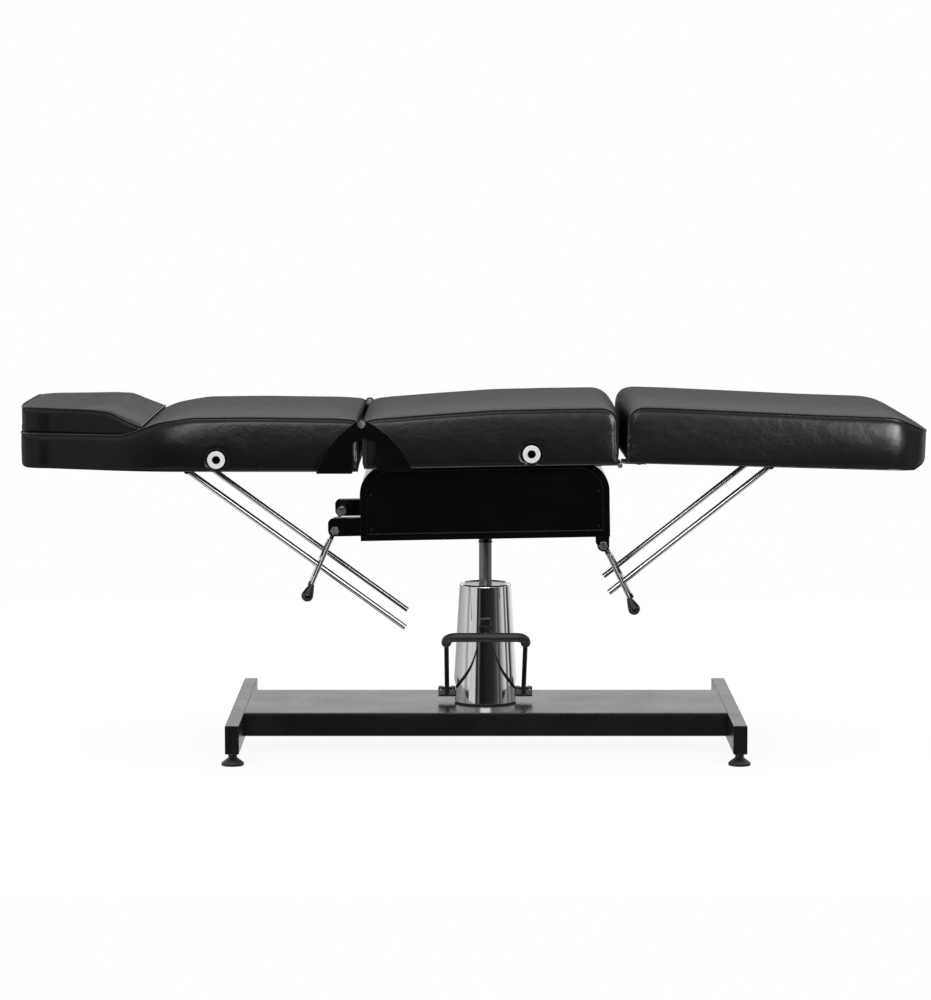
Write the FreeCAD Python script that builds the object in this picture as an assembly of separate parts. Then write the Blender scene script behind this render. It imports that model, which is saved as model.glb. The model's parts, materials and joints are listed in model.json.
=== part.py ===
"""Hydraulic three-section tattoo bed.

Frame: +X runs from the head end to the foot end, +Y away from the pedal side, +Z up.
The origin is on the floor under the middle of the bed.  Lengths are in millimetres.
Everything is first placed about the column axis, and moved sideways when it is written out.
"""
import FreeCAD, Part
import math
import os
from FreeCAD import Vector

# Shared clearances and sheet
RUN = 0.05            # radial running fit of a pin or shaft
GAP = 0.3             # gap between pieces that lie side by side
CUT = 5.0             # overrun of every cutting tool
SHEET = 2.5           # frame, bracket and hinge sheet

# Base
BASE_LENGTH = 1066.0
BEAM_DEPTH = 301.0
BEAM_HEIGHT = 49.5
BASE_TOP = 84.0
FOOT_WIDTH = 28.8
FOOT_LENGTH = 620.0
FOOT_HEIGHT = 59.0
TUBE_WALL = 3.0
EDGE_ROUND = 2.5
PAD_RADIUS = 23.0
PAD_RIM = 5.0
PAD_NECK_RADIUS = 9.0
PAD_HEIGHT = 21.0
PAD_INSET = 20.0
STUD_RADIUS = 5.0
STUD_GRIP = 26.0
NUT_RADIUS = 9.5
NUT_HEIGHT = 8.0

# Column cover, a drawn cone
CONE_FOOT_RADIUS = 69.5
CONE_TOP_RADIUS = 54.5
CONE_HEIGHT = 254.0
CONE_WALL = 1.5
CONE_LIP = 4.0
CONE_DISH = 2.0
CONE_SLOT_WIDTH = 56.0
CONE_SLOT_HEIGHT = 50.0
GASKET_HEIGHT = 4.0
GASKET_LIP = 1.0

# Pump inside the cover
PUMP_RADIUS = 44.0
FLANGE_RADIUS = 60.0
FLANGE_THICK = 8.0
FLANGE_BOLT_CIRCLE = 51.0
FLANGE_BOLT_RADIUS = 4.0
BOLT_HEAD_RADIUS = 6.5
BOLT_HEAD_HEIGHT = 5.0
BORE_FLOOR = 38.0
GLAND_HEIGHT = 9.0
GLAND_RADIUS = 24.0
GLAND_GAP = 3.0

# Piston
PISTON_RADIUS = 13.5
PISTON_TOP = 425.0
PISTON_FOOT = 206.0
SPIGOT_RADIUS = 10.0
SPIGOT_LENGTH = 76.0
RING_HEIGHT = 2.0
RING_RADIUS = 15.0

# Pump pedal
PEDAL_ANGLE = 31.3
PEDAL_AXIS_HEIGHT = 16.5
PEDAL_REACH = 287.5
PEDAL_HALF_WIDTH = 81.5
PEDAL_ROD_RADIUS = 5.0
PEDAL_BEND = 20.0
PEDAL_TAIL = 12.0
SLEEVE_RADIUS = 9.5
SLEEVE_END_RADIUS = 10.5
SLEEVE_TAIL = 6.0
SHAFT_RADIUS = 8.0
CLAMP_WIDTH = 37.0
CLAMP_SIDE = 10.0
STRAP_THICK = 3.5
STRAP_DEPTH = 12.0
CLAMP_BOLT_SPREAD = 12.5
CLAMP_BOLT_RADIUS = 3.0
CLAMP_HEAD_RADIUS = 4.8
CLAMP_HEAD_HEIGHT = 3.0

# Seat frame, tilted a little up towards the foot end
SEAT_TILT = 1.04
FRAME_BOTTOM = 455.0
FRAME_HEIGHT = 157.0
FRAME_HEAD = 258.0
FRAME_FOOT = 256.0
FRAME_CORNER = 62.0
BAND_HALF = 196.0
PANEL_THICK = 4.0
PANEL_BORDER = 14.0
PANEL_RECESS = 2.0
CHANNEL_WIDTH = 22.0
CHANNEL_HEIGHT = 40.0
CHANNEL_RISE = 8.0
CHANNEL_WALL = 3.0
HUB_RADIUS = 14.0
HUB_BOSS_RADIUS = 21.0
HUB_PLATE_LENGTH = 118.0
HUB_PLATE_DEPTH = 90.0
HUB_PLATE_THICK = 6.0
HUB_BOLT_INSET = 12.0
HUB_BOLT_RADIUS = 4.0

# Lock arms, lugs and their pivot bolts
ARM_FACE = 193.0
ARM_THICK = 3.0
ARM_TOP = 48.0
ARM_HEIGHT = 38.0
ARM_REACH = 325.0
ARM_ROOT = 205.0
ARM_FLANGE = 24.0
ARM_NOSE = 12.0
ARM_PIVOT_INSET = 14.0
ARM_PIVOT_RISE = 21.5
LUG_PIVOT_X = 242.0
LUG_PIVOT_DROP = 19.2
LUG_RADIUS = 12.3
LUG_ROOT = 60.0
LUG_SHOULDER = 16.0
PIVOT_RADIUS = 4.0
PIVOT_HEAD_RADIUS = 9.2
PIVOT_HEAD_HEIGHT = 5.5
PIVOT_NUT_HEIGHT = 6.5

# Tilt-lock levers
BACK_LOCK_REACH = 86.0
LEG_LOCK_REACH = 92.7
BACK_LEVER_ANGLE = 23.1
LEG_LEVER_ANGLE = 25.9
LEVER_THICK = 4.0
LEVER_WIDTH = 7.0
LEVER_NECK = 24.0
LEVER_EAR_RADIUS = 11.0
LOCK_HALF = 18.0
LOCK_OFFSET = 3.5
LOCK_INNER_MARGIN = 10.0
LOCK_SLOT_HALF = 11.0
LOCK_SLOT_SIDE = 0.8
HANDLE_RADIUS = 3.5
KNOB_RADIUS = 12.5
KNOB_REACH = 147.0
KNOB_NECK_RADIUS = 4.5
KNOB_NECK = 18.0
GRIP_RADIUS = 5.5
GRIP_START = 108.0
GRIP_END = 168.0
CAP_LENGTH = 11.0

# Support rods
ROD_RADIUS = 6.0
ROD_WALL = 1.5
ROD_SIDE = 134.0
BACK_ROD_LENGTH = 559.0
LEG_ROD_LENGTH = 427.0
ROD_EYE_RADIUS = 7.0
ROD_EYE_HALF = 6.0
ROD_PIN_RADIUS = 4.0
ROD_PIN_DROP = 11.5
BACK_ROD_X = 619.5
LEG_ROD_X = 319.2
BRACKET_LENGTH = 56.0
BRACKET_WIDTH = 44.0
BRACKET_EAR = 26.0
PIN_HEAD_RADIUS = 6.5
PIN_HEAD_HEIGHT = 3.0

# Fan hinge of the back
HINGE_X = 248.0
HINGE_RISE = 92.4
HINGE_PIN_RADIUS = 4.0
HINGE_HEAD_RADIUS = 7.5
HINGE_HEAD_HEIGHT = 2.5
FAN_SHEET = 3.0
FAN_INNER_FACE = 293.5
FAN_GAP = 0.5
FAN_NOSE = 10.5
FAN_BULGE = 14.0
FAN_WAIST_SHARE = 0.9
FAN_HIP_SHARE = 0.4
FAN_FLANGE = 42.0
BACK_FAN_REACH = 92.0
BACK_FAN_ROOT = 19.5
SEAT_FAN_REACH = 100.0
SEAT_FAN_ROOT = 29.0
FAN_SCREW_INSET = 14.0

# Cushions and boards
HALF_WIDTH = 290.0
BOARD_THICK = 13.5
BOARD_MARGIN = 14.0
SIDE_BULGE = 4.0
SEAM_INSET = 2.5
BOTTOM_TRIM = 5.0
SEAT_HEAD_END = 246.0
SEAT_FOOT_END = 271.0
SEAT_THICK = 114.0
SEAT_CROWN = 13.0
BACK_BOTTOM_DROP = 97.9
BACK_END = 6.0
BACK_THICK = 110.0
BACK_CROWN = 14.0
HEAD_REACH = 960.0
HEAD_THICK = 71.0
HEAD_HALF_WIDTH = 213.0
HEAD_CORNER = 60.0
HEAD_CROWN_SHARE = 0.08
HEAD_STEP_OUTER = 200.0
HEAD_STEP_INNER = 363.0
HEAD_TAPER = 270.0
LEG_TILT = 1.57
LEG_HINGE_X = 272.0
LEG_HINGE_Z = 614.0
LEG_BOTTOM_RISE = 6.5
LEG_LENGTH = 627.0
LEG_THICK = 111.5
LEG_CROWN = 13.0
LEG_CORNER = 85.0
LEG_NOSE_DROP = 28.5
LEG_THINNING = 5.0
LEG_HEAD_END = 14.0

# Wedge pillow
PILLOW_LENGTH = 258.0
PILLOW_HEIGHT = 52.0
PILLOW_TIP = 20.0
PILLOW_INSET = 3.0
PILLOW_CROWN = 3.0
PILLOW_FRONT_CROWN = 14.0
PILLOW_WEDGE = 138.0

# Armrest sockets
SOCKET_RADIUS = 8.5
SOCKET_TUBE_RADIUS = 11.0
SOCKET_DEPTH = 120.0
RING_OUTER_RADIUS = 18.0
RING_FLANGE = 3.5
RING_SEAT = 3.0
BACK_SOCKET_X = 547.8
SEAT_SOCKET_X = 95.3

# Leg butt hinges
BUTT_RADIUS = 5.0
BUTT_PIN_RADIUS = 2.5
BUTT_SIDE = 235.0
BUTT_WIDTH = 90.0
BUTT_LEAF = 52.0
BUTT_SCREW_SHARE = 0.75

# Screws
SCREW_HEAD_RADIUS = 4.5
SCREW_HEAD_HEIGHT = 2.2
SCREW_RADIUS = 2.2
SCREW_LENGTH = 10.0

# Values worked out from those above
CONE_TOP = BASE_TOP + CONE_HEIGHT
PEDAL_AXIS_Z = BASE_TOP + PEDAL_AXIS_HEIGHT
FRAME_TOP = FRAME_BOTTOM + FRAME_HEIGHT
PANEL_FACE = BAND_HALF + PANEL_THICK
HINGE_Z = FRAME_TOP + HINGE_RISE
LEVER_FACE = ARM_FACE - ARM_THICK - GAP
ROD_HOLE = ROD_PIN_RADIUS + RUN
SOCKET_RISE = BOARD_THICK + SOCKET_TUBE_RADIUS
STEP_START = HEAD_REACH - HEAD_STEP_INNER
STEP_END = HEAD_REACH - HEAD_STEP_OUTER
TAPER_START = HEAD_REACH - HEAD_TAPER


def place_seat(shape):
    """Tilt a piece of the seat about the top of the column, foot end up."""
    turned = shape.copy()
    turned.rotate(Vector(0, 0, FRAME_BOTTOM), Vector(0, 1, 0), -SEAT_TILT)
    return turned


def seat_point(x, z):
    """World X and Z of a point given in the untilted seat."""
    angle = math.radians(SEAT_TILT)
    rise = z - FRAME_BOTTOM
    return (x * math.cos(angle) - rise * math.sin(angle),
            FRAME_BOTTOM + rise * math.cos(angle) + x * math.sin(angle))


def place_leg(shape):
    """Move a piece from the leg frame, whose origin is the butt hinge pin."""
    turned = shape.copy()
    turned.rotate(Vector(0, 0, 0), Vector(0, 1, 0), LEG_TILT)
    turned.translate(Vector(LEG_HINGE_X, 0, LEG_HINGE_Z))
    return turned


def leg_point(x, z):
    """World X and Z of a point given in the leg frame."""
    angle = math.radians(LEG_TILT)
    return (LEG_HINGE_X + x * math.cos(angle) + z * math.sin(angle),
            LEG_HINGE_Z - x * math.sin(angle) + z * math.cos(angle))


BACK_HINGE_X, BACK_HINGE_Z = seat_point(-HINGE_X, HINGE_Z)
BACK_BOTTOM = BACK_HINGE_Z - BACK_BOTTOM_DROP


def box(x0, x1, y0, y1, z0, z1):
    """A box between two corners."""
    return Part.makeBox(x1 - x0, y1 - y0, z1 - z0, Vector(x0, y0, z0))


def upright(radius, x, y, z0, z1):
    """A vertical cylinder."""
    return Part.makeCylinder(radius, z1 - z0, Vector(x, y, z0))


def crosswise(radius, x, z, y0, y1):
    """A cylinder along Y."""
    return Part.makeCylinder(radius, y1 - y0, Vector(x, y0, z), Vector(0, 1, 0))


def hexagon(radius, height, base, direction):
    """A hexagonal head or nut that stands on a base point."""
    points = [Vector(radius * math.cos(math.pi * k / 3), radius * math.sin(math.pi * k / 3), 0)
              for k in range(7)]
    prism = Part.Face(Part.makePolygon(points)).extrude(Vector(0, 0, height))
    prism.Placement = FreeCAD.Placement(base, FreeCAD.Rotation(Vector(0, 0, 1), direction))
    return prism


def turned_hexagon(radius, height, base, direction):
    """A hexagon whose corners are turned off at thirty degrees on both faces, as on a real bolt."""
    flat = radius * math.cos(math.pi / 6)
    slope = (radius - flat) * math.tan(math.pi / 6)
    profile = [Vector(0, 0, 0), Vector(flat, 0, 0), Vector(radius, 0, slope), Vector(radius, 0, height - slope),
               Vector(flat, 0, height), Vector(0, 0, height), Vector(0, 0, 0)]
    turned = Part.Face(Part.makePolygon(profile)).revolve(Vector(0, 0, 0), Vector(0, 0, 1), 360)
    turned.Placement = FreeCAD.Placement(base, FreeCAD.Rotation(Vector(0, 0, 1), direction))
    return hexagon(radius, height, base, direction).common(turned)


def line(a, b):
    """A straight edge."""
    return Part.LineSegment(a, b).toShape()


def arc(a, middle, b):
    """An arc through three points."""
    return Part.Arc(a, middle, b).toShape()


def plate(edges, thickness, direction):
    """A flat sheet made by pushing an outline along a direction."""
    face = Part.Face(Part.Wire(Part.__sortEdges__(edges)))
    return face.extrude(Vector(direction) * thickness)


def mirror(shape):
    """The same piece on the far side of the bed."""
    return shape.mirror(Vector(0, 0, 0), Vector(0, 1, 0))


def both_sides(shape):
    """A piece and its copy on the far side."""
    return [shape, mirror(shape)]


def tube_box(x0, x1, y0, y1, z0, z1, wall):
    """A closed hollow box with rounded long edges."""
    outer = box(x0, x1, y0, y1, z0, z1)
    longest = max(edge.Length for edge in outer.Edges)
    long_edges = [edge for edge in outer.Edges if edge.Length > longest - wall / 2]
    outer = outer.makeFillet(EDGE_ROUND, long_edges)
    return outer.cut(box(x0 + wall, x1 - wall, y0 + wall, y1 - wall, z0 + wall, z1 - wall))


# Base


def base_beam():
    half = BASE_LENGTH / 2 - FOOT_WIDTH
    return tube_box(-half, half, -BEAM_DEPTH / 2, BEAM_DEPTH / 2,
                    BASE_TOP - BEAM_HEIGHT, BASE_TOP, TUBE_WALL)


def cross_foot(side):
    """One end tube of the base, with the holes of its two levelling studs."""
    inner = BASE_LENGTH / 2 - FOOT_WIDTH
    x0, x1 = sorted((side * inner, side * BASE_LENGTH / 2))
    foot_bottom = BASE_TOP - FOOT_HEIGHT
    tube = tube_box(x0, x1, -FOOT_LENGTH / 2, FOOT_LENGTH / 2, foot_bottom, BASE_TOP, TUBE_WALL)
    for y in stud_places():
        tube = tube.cut(upright(STUD_RADIUS + RUN, (x0 + x1) / 2, y, foot_bottom - CUT,
                                foot_bottom + TUBE_WALL + CUT))
    return tube


def stud_places():
    return (-(FOOT_LENGTH / 2 - PAD_INSET), FOOT_LENGTH / 2 - PAD_INSET)


def foot_places():
    x = BASE_LENGTH / 2 - FOOT_WIDTH / 2
    return [(side * x, y) for side in (-1, 1) for y in stud_places()]


def foot_pad(x, y):
    """A flared levelling foot turned as one piece."""
    profile = [Vector(0, 0, 0), Vector(PAD_RADIUS, 0, 0), Vector(PAD_RADIUS, 0, PAD_RIM),
               Vector(PAD_NECK_RADIUS, 0, PAD_HEIGHT - PAD_RIM), Vector(PAD_NECK_RADIUS, 0, PAD_HEIGHT),
               Vector(0, 0, PAD_HEIGHT), Vector(0, 0, 0)]
    pad = Part.Face(Part.makePolygon(profile)).revolve(Vector(0, 0, 0), Vector(0, 0, 1), 360)
    pad = pad.cut(upright(STUD_RADIUS, 0, 0, PAD_HEIGHT / 2, PAD_HEIGHT + CUT))
    pad.translate(Vector(x, y, 0))
    return pad


def foot_stud(x, y):
    """A stud in the foot, with the nut that carries the tube inside it."""
    floor = BASE_TOP - FOOT_HEIGHT + TUBE_WALL
    stud = upright(STUD_RADIUS, x, y, PAD_HEIGHT / 2, floor + STUD_GRIP)
    nut = hexagon(NUT_RADIUS, NUT_HEIGHT, Vector(x, y, floor), Vector(0, 0, 1))
    return stud.fuse(nut)


# Column


def column_cover():
    """The chrome cone: a thin shell with a rolled lip, a dished top and a slot at each side."""
    steep = (CONE_FOOT_RADIUS - CONE_TOP_RADIUS) / CONE_HEIGHT
    shoulder = CONE_TOP - CONE_LIP
    bend = CONE_LIP * (1 - math.sqrt(0.5))

    def skin(inset):
        return [Vector(CONE_FOOT_RADIUS - inset, 0, BASE_TOP),
                Vector(CONE_TOP_RADIUS + steep * CONE_LIP - inset, 0, shoulder),
                Vector(CONE_TOP_RADIUS - bend - inset, 0, CONE_TOP - bend - inset),
                Vector(CONE_TOP_RADIUS - CONE_LIP - inset, 0, CONE_TOP - inset),
                Vector(CONE_TOP_RADIUS - CONE_LIP - CONE_DISH - inset, 0, CONE_TOP - CONE_DISH - inset),
                Vector(PISTON_RADIUS + GAP + RUN, 0, CONE_TOP - CONE_DISH - inset)]

    out, inn = skin(0), skin(CONE_WALL)
    edges = [line(out[0], out[1]), arc(out[1], out[2], out[3]), line(out[3], out[4]), line(out[4], out[5]),
             line(out[5], inn[5]), line(inn[5], inn[4]), line(inn[4], inn[3]), arc(inn[3], inn[2], inn[1]),
             line(inn[1], inn[0]), line(inn[0], out[0])]
    face = Part.Face(Part.Wire(edges))
    shell = face.revolve(Vector(0, 0, 0), Vector(0, 0, 1), 360)
    gasket_top = BASE_TOP + GASKET_HEIGHT
    return shell.cut([cone_slot(), upright(CONE_FOOT_RADIUS + CUT, 0, 0, BASE_TOP - CUT, gasket_top)])


def cone_slot():
    """The arched way through both sides of the cover for the pedal shaft."""
    slot_top = BASE_TOP + CONE_SLOT_HEIGHT - CONE_SLOT_WIDTH / 2
    reach = CONE_FOOT_RADIUS + CUT
    slot = box(-reach, reach, -CONE_SLOT_WIDTH / 2, CONE_SLOT_WIDTH / 2, BASE_TOP - CUT, slot_top)
    arch = Part.makeCylinder(CONE_SLOT_WIDTH / 2, 2 * reach, Vector(-reach, 0, slot_top), Vector(1, 0, 0))
    return slot.fuse(arch)


def cover_gasket():
    """The rubber ring that the cover stands on, open where the pedal shaft passes."""
    ring = upright(CONE_FOOT_RADIUS + GASKET_LIP, 0, 0, BASE_TOP, BASE_TOP + GASKET_HEIGHT)
    hole = upright(FLANGE_RADIUS + GAP, 0, 0, BASE_TOP - CUT, BASE_TOP + GASKET_HEIGHT + CUT)
    reach = CONE_FOOT_RADIUS + CUT
    half = CONE_SLOT_WIDTH / 2
    return ring.cut([hole, box(-reach, reach, -half, half, BASE_TOP - CUT, BASE_TOP + GASKET_HEIGHT + CUT)])


def pump_body():
    """The pump casting: a closed cylinder with the piston bore and the cross bore of the pedal shaft."""
    top = CONE_TOP - CONE_DISH - CONE_WALL - GLAND_GAP - GLAND_HEIGHT
    body = upright(PUMP_RADIUS, 0, 0, BASE_TOP + FLANGE_THICK, top)
    body = body.cut(upright(PISTON_RADIUS + RUN, 0, 0, BASE_TOP + BORE_FLOOR, top + CUT))
    cross = Part.makeCylinder(SHAFT_RADIUS + RUN, 2 * (PUMP_RADIUS + CUT),
                              Vector(-PUMP_RADIUS - CUT, 0, PEDAL_AXIS_Z), Vector(1, 0, 0))
    return body.cut(cross)


def piston_gland():
    top = CONE_TOP - CONE_DISH - CONE_WALL - GLAND_GAP
    nut = hexagon(GLAND_RADIUS, GLAND_HEIGHT, Vector(0, 0, top - GLAND_HEIGHT), Vector(0, 0, 1))
    return nut.cut(upright(PISTON_RADIUS + RUN, 0, 0, top - GLAND_HEIGHT - CUT, top + CUT))


def flange_bolt_places():
    turn = math.pi / 4
    return [(FLANGE_BOLT_CIRCLE * math.cos(turn + k * math.pi / 2),
             FLANGE_BOLT_CIRCLE * math.sin(turn + k * math.pi / 2)) for k in range(4)]


def pump_flange():
    disc = upright(FLANGE_RADIUS, 0, 0, BASE_TOP, BASE_TOP + FLANGE_THICK)
    for x, y in flange_bolt_places():
        disc = disc.cut(upright(FLANGE_BOLT_RADIUS, x, y, BASE_TOP - CUT, BASE_TOP + FLANGE_THICK + CUT))
    return disc


def flange_bolt(x, y):
    """A bolt that holds the pump down on the top wall of the beam."""
    seat = BASE_TOP + FLANGE_THICK
    shank = upright(FLANGE_BOLT_RADIUS, x, y, BASE_TOP, seat)
    return shank.fuse(hexagon(BOLT_HEAD_RADIUS, BOLT_HEAD_HEIGHT, Vector(x, y, seat), Vector(0, 0, 1)))


def piston():
    rod = upright(PISTON_RADIUS, 0, 0, PISTON_FOOT, PISTON_TOP)
    return rod.fuse(upright(SPIGOT_RADIUS, 0, 0, PISTON_TOP, PISTON_TOP + SPIGOT_LENGTH)).removeSplitter()


def thrust_ring():
    ring = upright(RING_RADIUS, 0, 0, PISTON_TOP, PISTON_TOP + RING_HEIGHT)
    return ring.cut(upright(SPIGOT_RADIUS, 0, 0, PISTON_TOP - CUT, PISTON_TOP + RING_HEIGHT + CUT))


# Pedal, drawn lying along -Y from its shaft and then raised by its angle


def raise_pedal(shape):
    raised = shape.copy()
    raised.rotate(Vector(0, 0, 0), Vector(1, 0, 0), -PEDAL_ANGLE)
    raised.translate(Vector(0, 0, PEDAL_AXIS_Z))
    return raised


def pedal_line():
    """Height of the pedal rod above the shaft axis, as it lies in its clamp."""
    return CLAMP_SIDE / 2 + PEDAL_ROD_RADIUS / 2


def pedal_path(tail):
    """Centre line of the U: one leg, two bends and the bar."""
    z = pedal_line()
    w = PEDAL_HALF_WIDTH
    far = -PEDAL_REACH
    near = far + PEDAL_BEND
    turn = PEDAL_BEND * (1 - math.sqrt(0.5))
    return [line(Vector(-w, tail, z), Vector(-w, near, z)),
            arc(Vector(-w, near, z), Vector(-w + turn, far + turn, z), Vector(-w + PEDAL_BEND, far, z)),
            line(Vector(-w + PEDAL_BEND, far, z), Vector(w - PEDAL_BEND, far, z)),
            arc(Vector(w - PEDAL_BEND, far, z), Vector(w - turn, far + turn, z), Vector(w, near, z)),
            line(Vector(w, near, z), Vector(w, tail, z))]


def swept(path, radius):
    """A round bar along a path."""
    wire = Part.Wire(path)
    first = path[0].valueAt(path[0].FirstParameter)
    direction = path[0].tangentAt(path[0].FirstParameter)
    ring = Part.Wire(Part.makeCircle(radius, first, direction))
    return wire.makePipeShell([ring], True, False)


def pedal_frame():
    return raise_pedal(swept(pedal_path(PEDAL_TAIL), PEDAL_ROD_RADIUS))


def pedal_sleeve():
    """The rubber sleeve over the bar and its bends, with a bulb at each end."""
    tail = -PEDAL_REACH + PEDAL_BEND + SLEEVE_TAIL
    sleeve = swept(pedal_path(tail), SLEEVE_RADIUS)
    for side in (-1, 1):
        sleeve = sleeve.fuse(Part.makeSphere(SLEEVE_END_RADIUS,
                                             Vector(side * PEDAL_HALF_WIDTH, tail, pedal_line())))
    sleeve = sleeve.cut(swept(pedal_path(PEDAL_TAIL), PEDAL_ROD_RADIUS + RUN))
    return raise_pedal(sleeve)


def clamp_span(side):
    """X range of a clamp, centred on the pedal leg."""
    middle = side * PEDAL_HALF_WIDTH
    return middle - CLAMP_WIDTH / 2, middle + CLAMP_WIDTH / 2


def pedal_shaft():
    """The shaft through the pump, with a square end under each pedal leg."""
    inner = PEDAL_HALF_WIDTH - CLAMP_WIDTH / 2
    shaft = Part.makeCylinder(SHAFT_RADIUS, 2 * inner, Vector(-inner, 0, 0), Vector(1, 0, 0))
    half = CLAMP_SIDE / 2
    for side in (-1, 1):
        x0, x1 = clamp_span(side)
        shaft = shaft.fuse(box(x0, x1, -half, half, -half, half))
    shaft = shaft.cut(pedal_leg_cut())
    return raise_pedal(shaft.cut(clamp_bolt_holes()))


def pedal_leg_cut():
    """The grooves that the two pedal legs lie in."""
    return swept(pedal_path(PEDAL_TAIL + CUT), PEDAL_ROD_RADIUS)


def clamp_bolt_places():
    return [side * PEDAL_HALF_WIDTH + step * CLAMP_BOLT_SPREAD for side in (-1, 1) for step in (-1, 1)]


def clamp_bolt_holes():
    holes = [upright(CLAMP_BOLT_RADIUS, x, 0, 0, strap_top() + CUT) for x in clamp_bolt_places()]
    return holes[0].multiFuse(holes[1:])


def strap_top():
    return pedal_line() + PEDAL_ROD_RADIUS / 2 + STRAP_THICK


def pedal_strap(side):
    """The plate that clamps a pedal leg down on the shaft end."""
    x0, x1 = clamp_span(side)
    half = STRAP_DEPTH / 2
    strap = box(x0, x1, -half, half, strap_top() - STRAP_THICK, strap_top())
    return raise_pedal(strap.cut(pedal_leg_cut()).cut(clamp_bolt_holes()))


def pedal_bolt(x):
    shank = upright(CLAMP_BOLT_RADIUS, x, 0, 0, strap_top())
    head = hexagon(CLAMP_HEAD_RADIUS, CLAMP_HEAD_HEIGHT, Vector(x, 0, strap_top()), Vector(0, 0, 1))
    return raise_pedal(shank.fuse(head))


# Seat frame


def frame_outline(y, inset):
    """The frame seen from the side: square below, rounded at both top corners."""
    x0, x1 = -FRAME_HEAD + inset, FRAME_FOOT - inset
    z0, z1 = FRAME_BOTTOM + inset, FRAME_TOP - inset
    radius = FRAME_CORNER - inset
    bend = radius * (1 - math.sqrt(0.5))
    return [line(Vector(x0, y, z0), Vector(x0, y, z1 - radius)),
            arc(Vector(x0, y, z1 - radius), Vector(x0 + bend, y, z1 - bend), Vector(x0 + radius, y, z1)),
            line(Vector(x0 + radius, y, z1), Vector(x1 - radius, y, z1)),
            arc(Vector(x1 - radius, y, z1), Vector(x1 - bend, y, z1 - bend), Vector(x1, y, z1 - radius)),
            line(Vector(x1, y, z1 - radius), Vector(x1, y, z0)),
            line(Vector(x1, y, z0), Vector(x0, y, z0))]


def frame_band():
    """The sheet that runs up one end, over the top and down the other, open below."""
    outer = plate(frame_outline(-BAND_HALF, 0), 2 * BAND_HALF, Vector(0, 1, 0))
    inner = plate(frame_outline(-BAND_HALF - CUT, SHEET), 2 * (BAND_HALF + CUT), Vector(0, 1, 0))
    below = box(-FRAME_HEAD + SHEET, FRAME_FOOT - SHEET, -BAND_HALF - CUT, BAND_HALF + CUT,
                FRAME_BOTTOM - CUT, FRAME_BOTTOM + 2 * SHEET)
    band = outer.cut(inner.fuse(below))
    for notch in both_sides(arm_notch()):
        band = band.cut(notch)
    return place_seat(band)


def arm_notch():
    """The hole in the head-side wall that a lock arm passes through."""
    top = FRAME_BOTTOM + ARM_TOP
    return box(-FRAME_HEAD - CUT, -FRAME_HEAD + SHEET + CUT, -ARM_FACE - GAP,
               -ARM_FACE + ARM_FLANGE + GAP, top - ARM_HEIGHT - GAP, top + GAP)


def side_panel():
    """A side panel: a flat sheet with a raised border round a recessed field."""
    panel = plate(frame_outline(-PANEL_FACE, 0), PANEL_THICK, Vector(0, 1, 0))
    field = plate(frame_outline(-PANEL_FACE - CUT, PANEL_BORDER), PANEL_RECESS + CUT, Vector(0, 1, 0))
    return place_seat(panel.cut(field))


def cross_member(x):
    """A channel across the frame that carries the hub plate, open towards the column."""
    z0 = FRAME_BOTTOM + CHANNEL_RISE
    half = CHANNEL_WIDTH / 2
    channel = box(x - half, x + half, -BAND_HALF, BAND_HALF, z0, z0 + CHANNEL_HEIGHT)
    side = 1 if x > 0 else -1
    x0, x1 = sorted((x - side * (half + CUT), x + side * (half - CHANNEL_WALL)))
    hollow = box(x0, x1, -BAND_HALF - CUT, BAND_HALF + CUT, z0 + CHANNEL_WALL,
                 z0 + CHANNEL_HEIGHT - CHANNEL_WALL)
    channel = channel.cut(hollow)
    for hole_x, hole_y in hub_bolt_places():
        channel = channel.cut(upright(HUB_BOLT_RADIUS, hole_x, hole_y, z0 + CHANNEL_HEIGHT / 2,
                                      z0 + CHANNEL_HEIGHT + CUT))
    return place_seat(channel)


def hub_bolt_places():
    x = HUB_PLATE_LENGTH / 2 - HUB_BOLT_INSET
    y = HUB_PLATE_DEPTH / 2 - HUB_BOLT_INSET
    return [(side * x, step * y) for side in (-1, 1) for step in (-1, 1)]


def hub_plate_level():
    return FRAME_BOTTOM + CHANNEL_RISE + CHANNEL_HEIGHT


def hub_socket():
    """The socket over the piston spigot: a vertical tube, with a plate that lies on the cross members."""
    foot = PISTON_TOP + RING_HEIGHT
    level = hub_plate_level()
    plate_solid = box(-HUB_PLATE_LENGTH / 2, HUB_PLATE_LENGTH / 2, -HUB_PLATE_DEPTH / 2, HUB_PLATE_DEPTH / 2,
                      level, level + HUB_PLATE_THICK)
    for x, y in hub_bolt_places():
        plate_solid = plate_solid.cut(upright(HUB_BOLT_RADIUS, x, y, level - CUT,
                                              level + HUB_PLATE_THICK + CUT))
    top = level + HUB_PLATE_THICK + HUB_BOSS_RADIUS
    tube = upright(HUB_RADIUS, 0, 0, foot, top)
    boss = upright(HUB_BOSS_RADIUS, 0, 0, level - HUB_BOSS_RADIUS, top)
    hub = place_seat(plate_solid).fuse([tube, boss])
    return hub.cut(upright(SPIGOT_RADIUS + RUN, 0, 0, foot - CUT, PISTON_TOP + SPIGOT_LENGTH + GAP))


def hub_bolt(x, y):
    level = hub_plate_level()
    shank = upright(HUB_BOLT_RADIUS, x, y, level - CHANNEL_WALL, level + HUB_PLATE_THICK)
    head = hexagon(BOLT_HEAD_RADIUS, BOLT_HEAD_HEIGHT, Vector(x, y, level + HUB_PLATE_THICK), Vector(0, 0, 1))
    return place_seat(shank.fuse(head))


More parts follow.
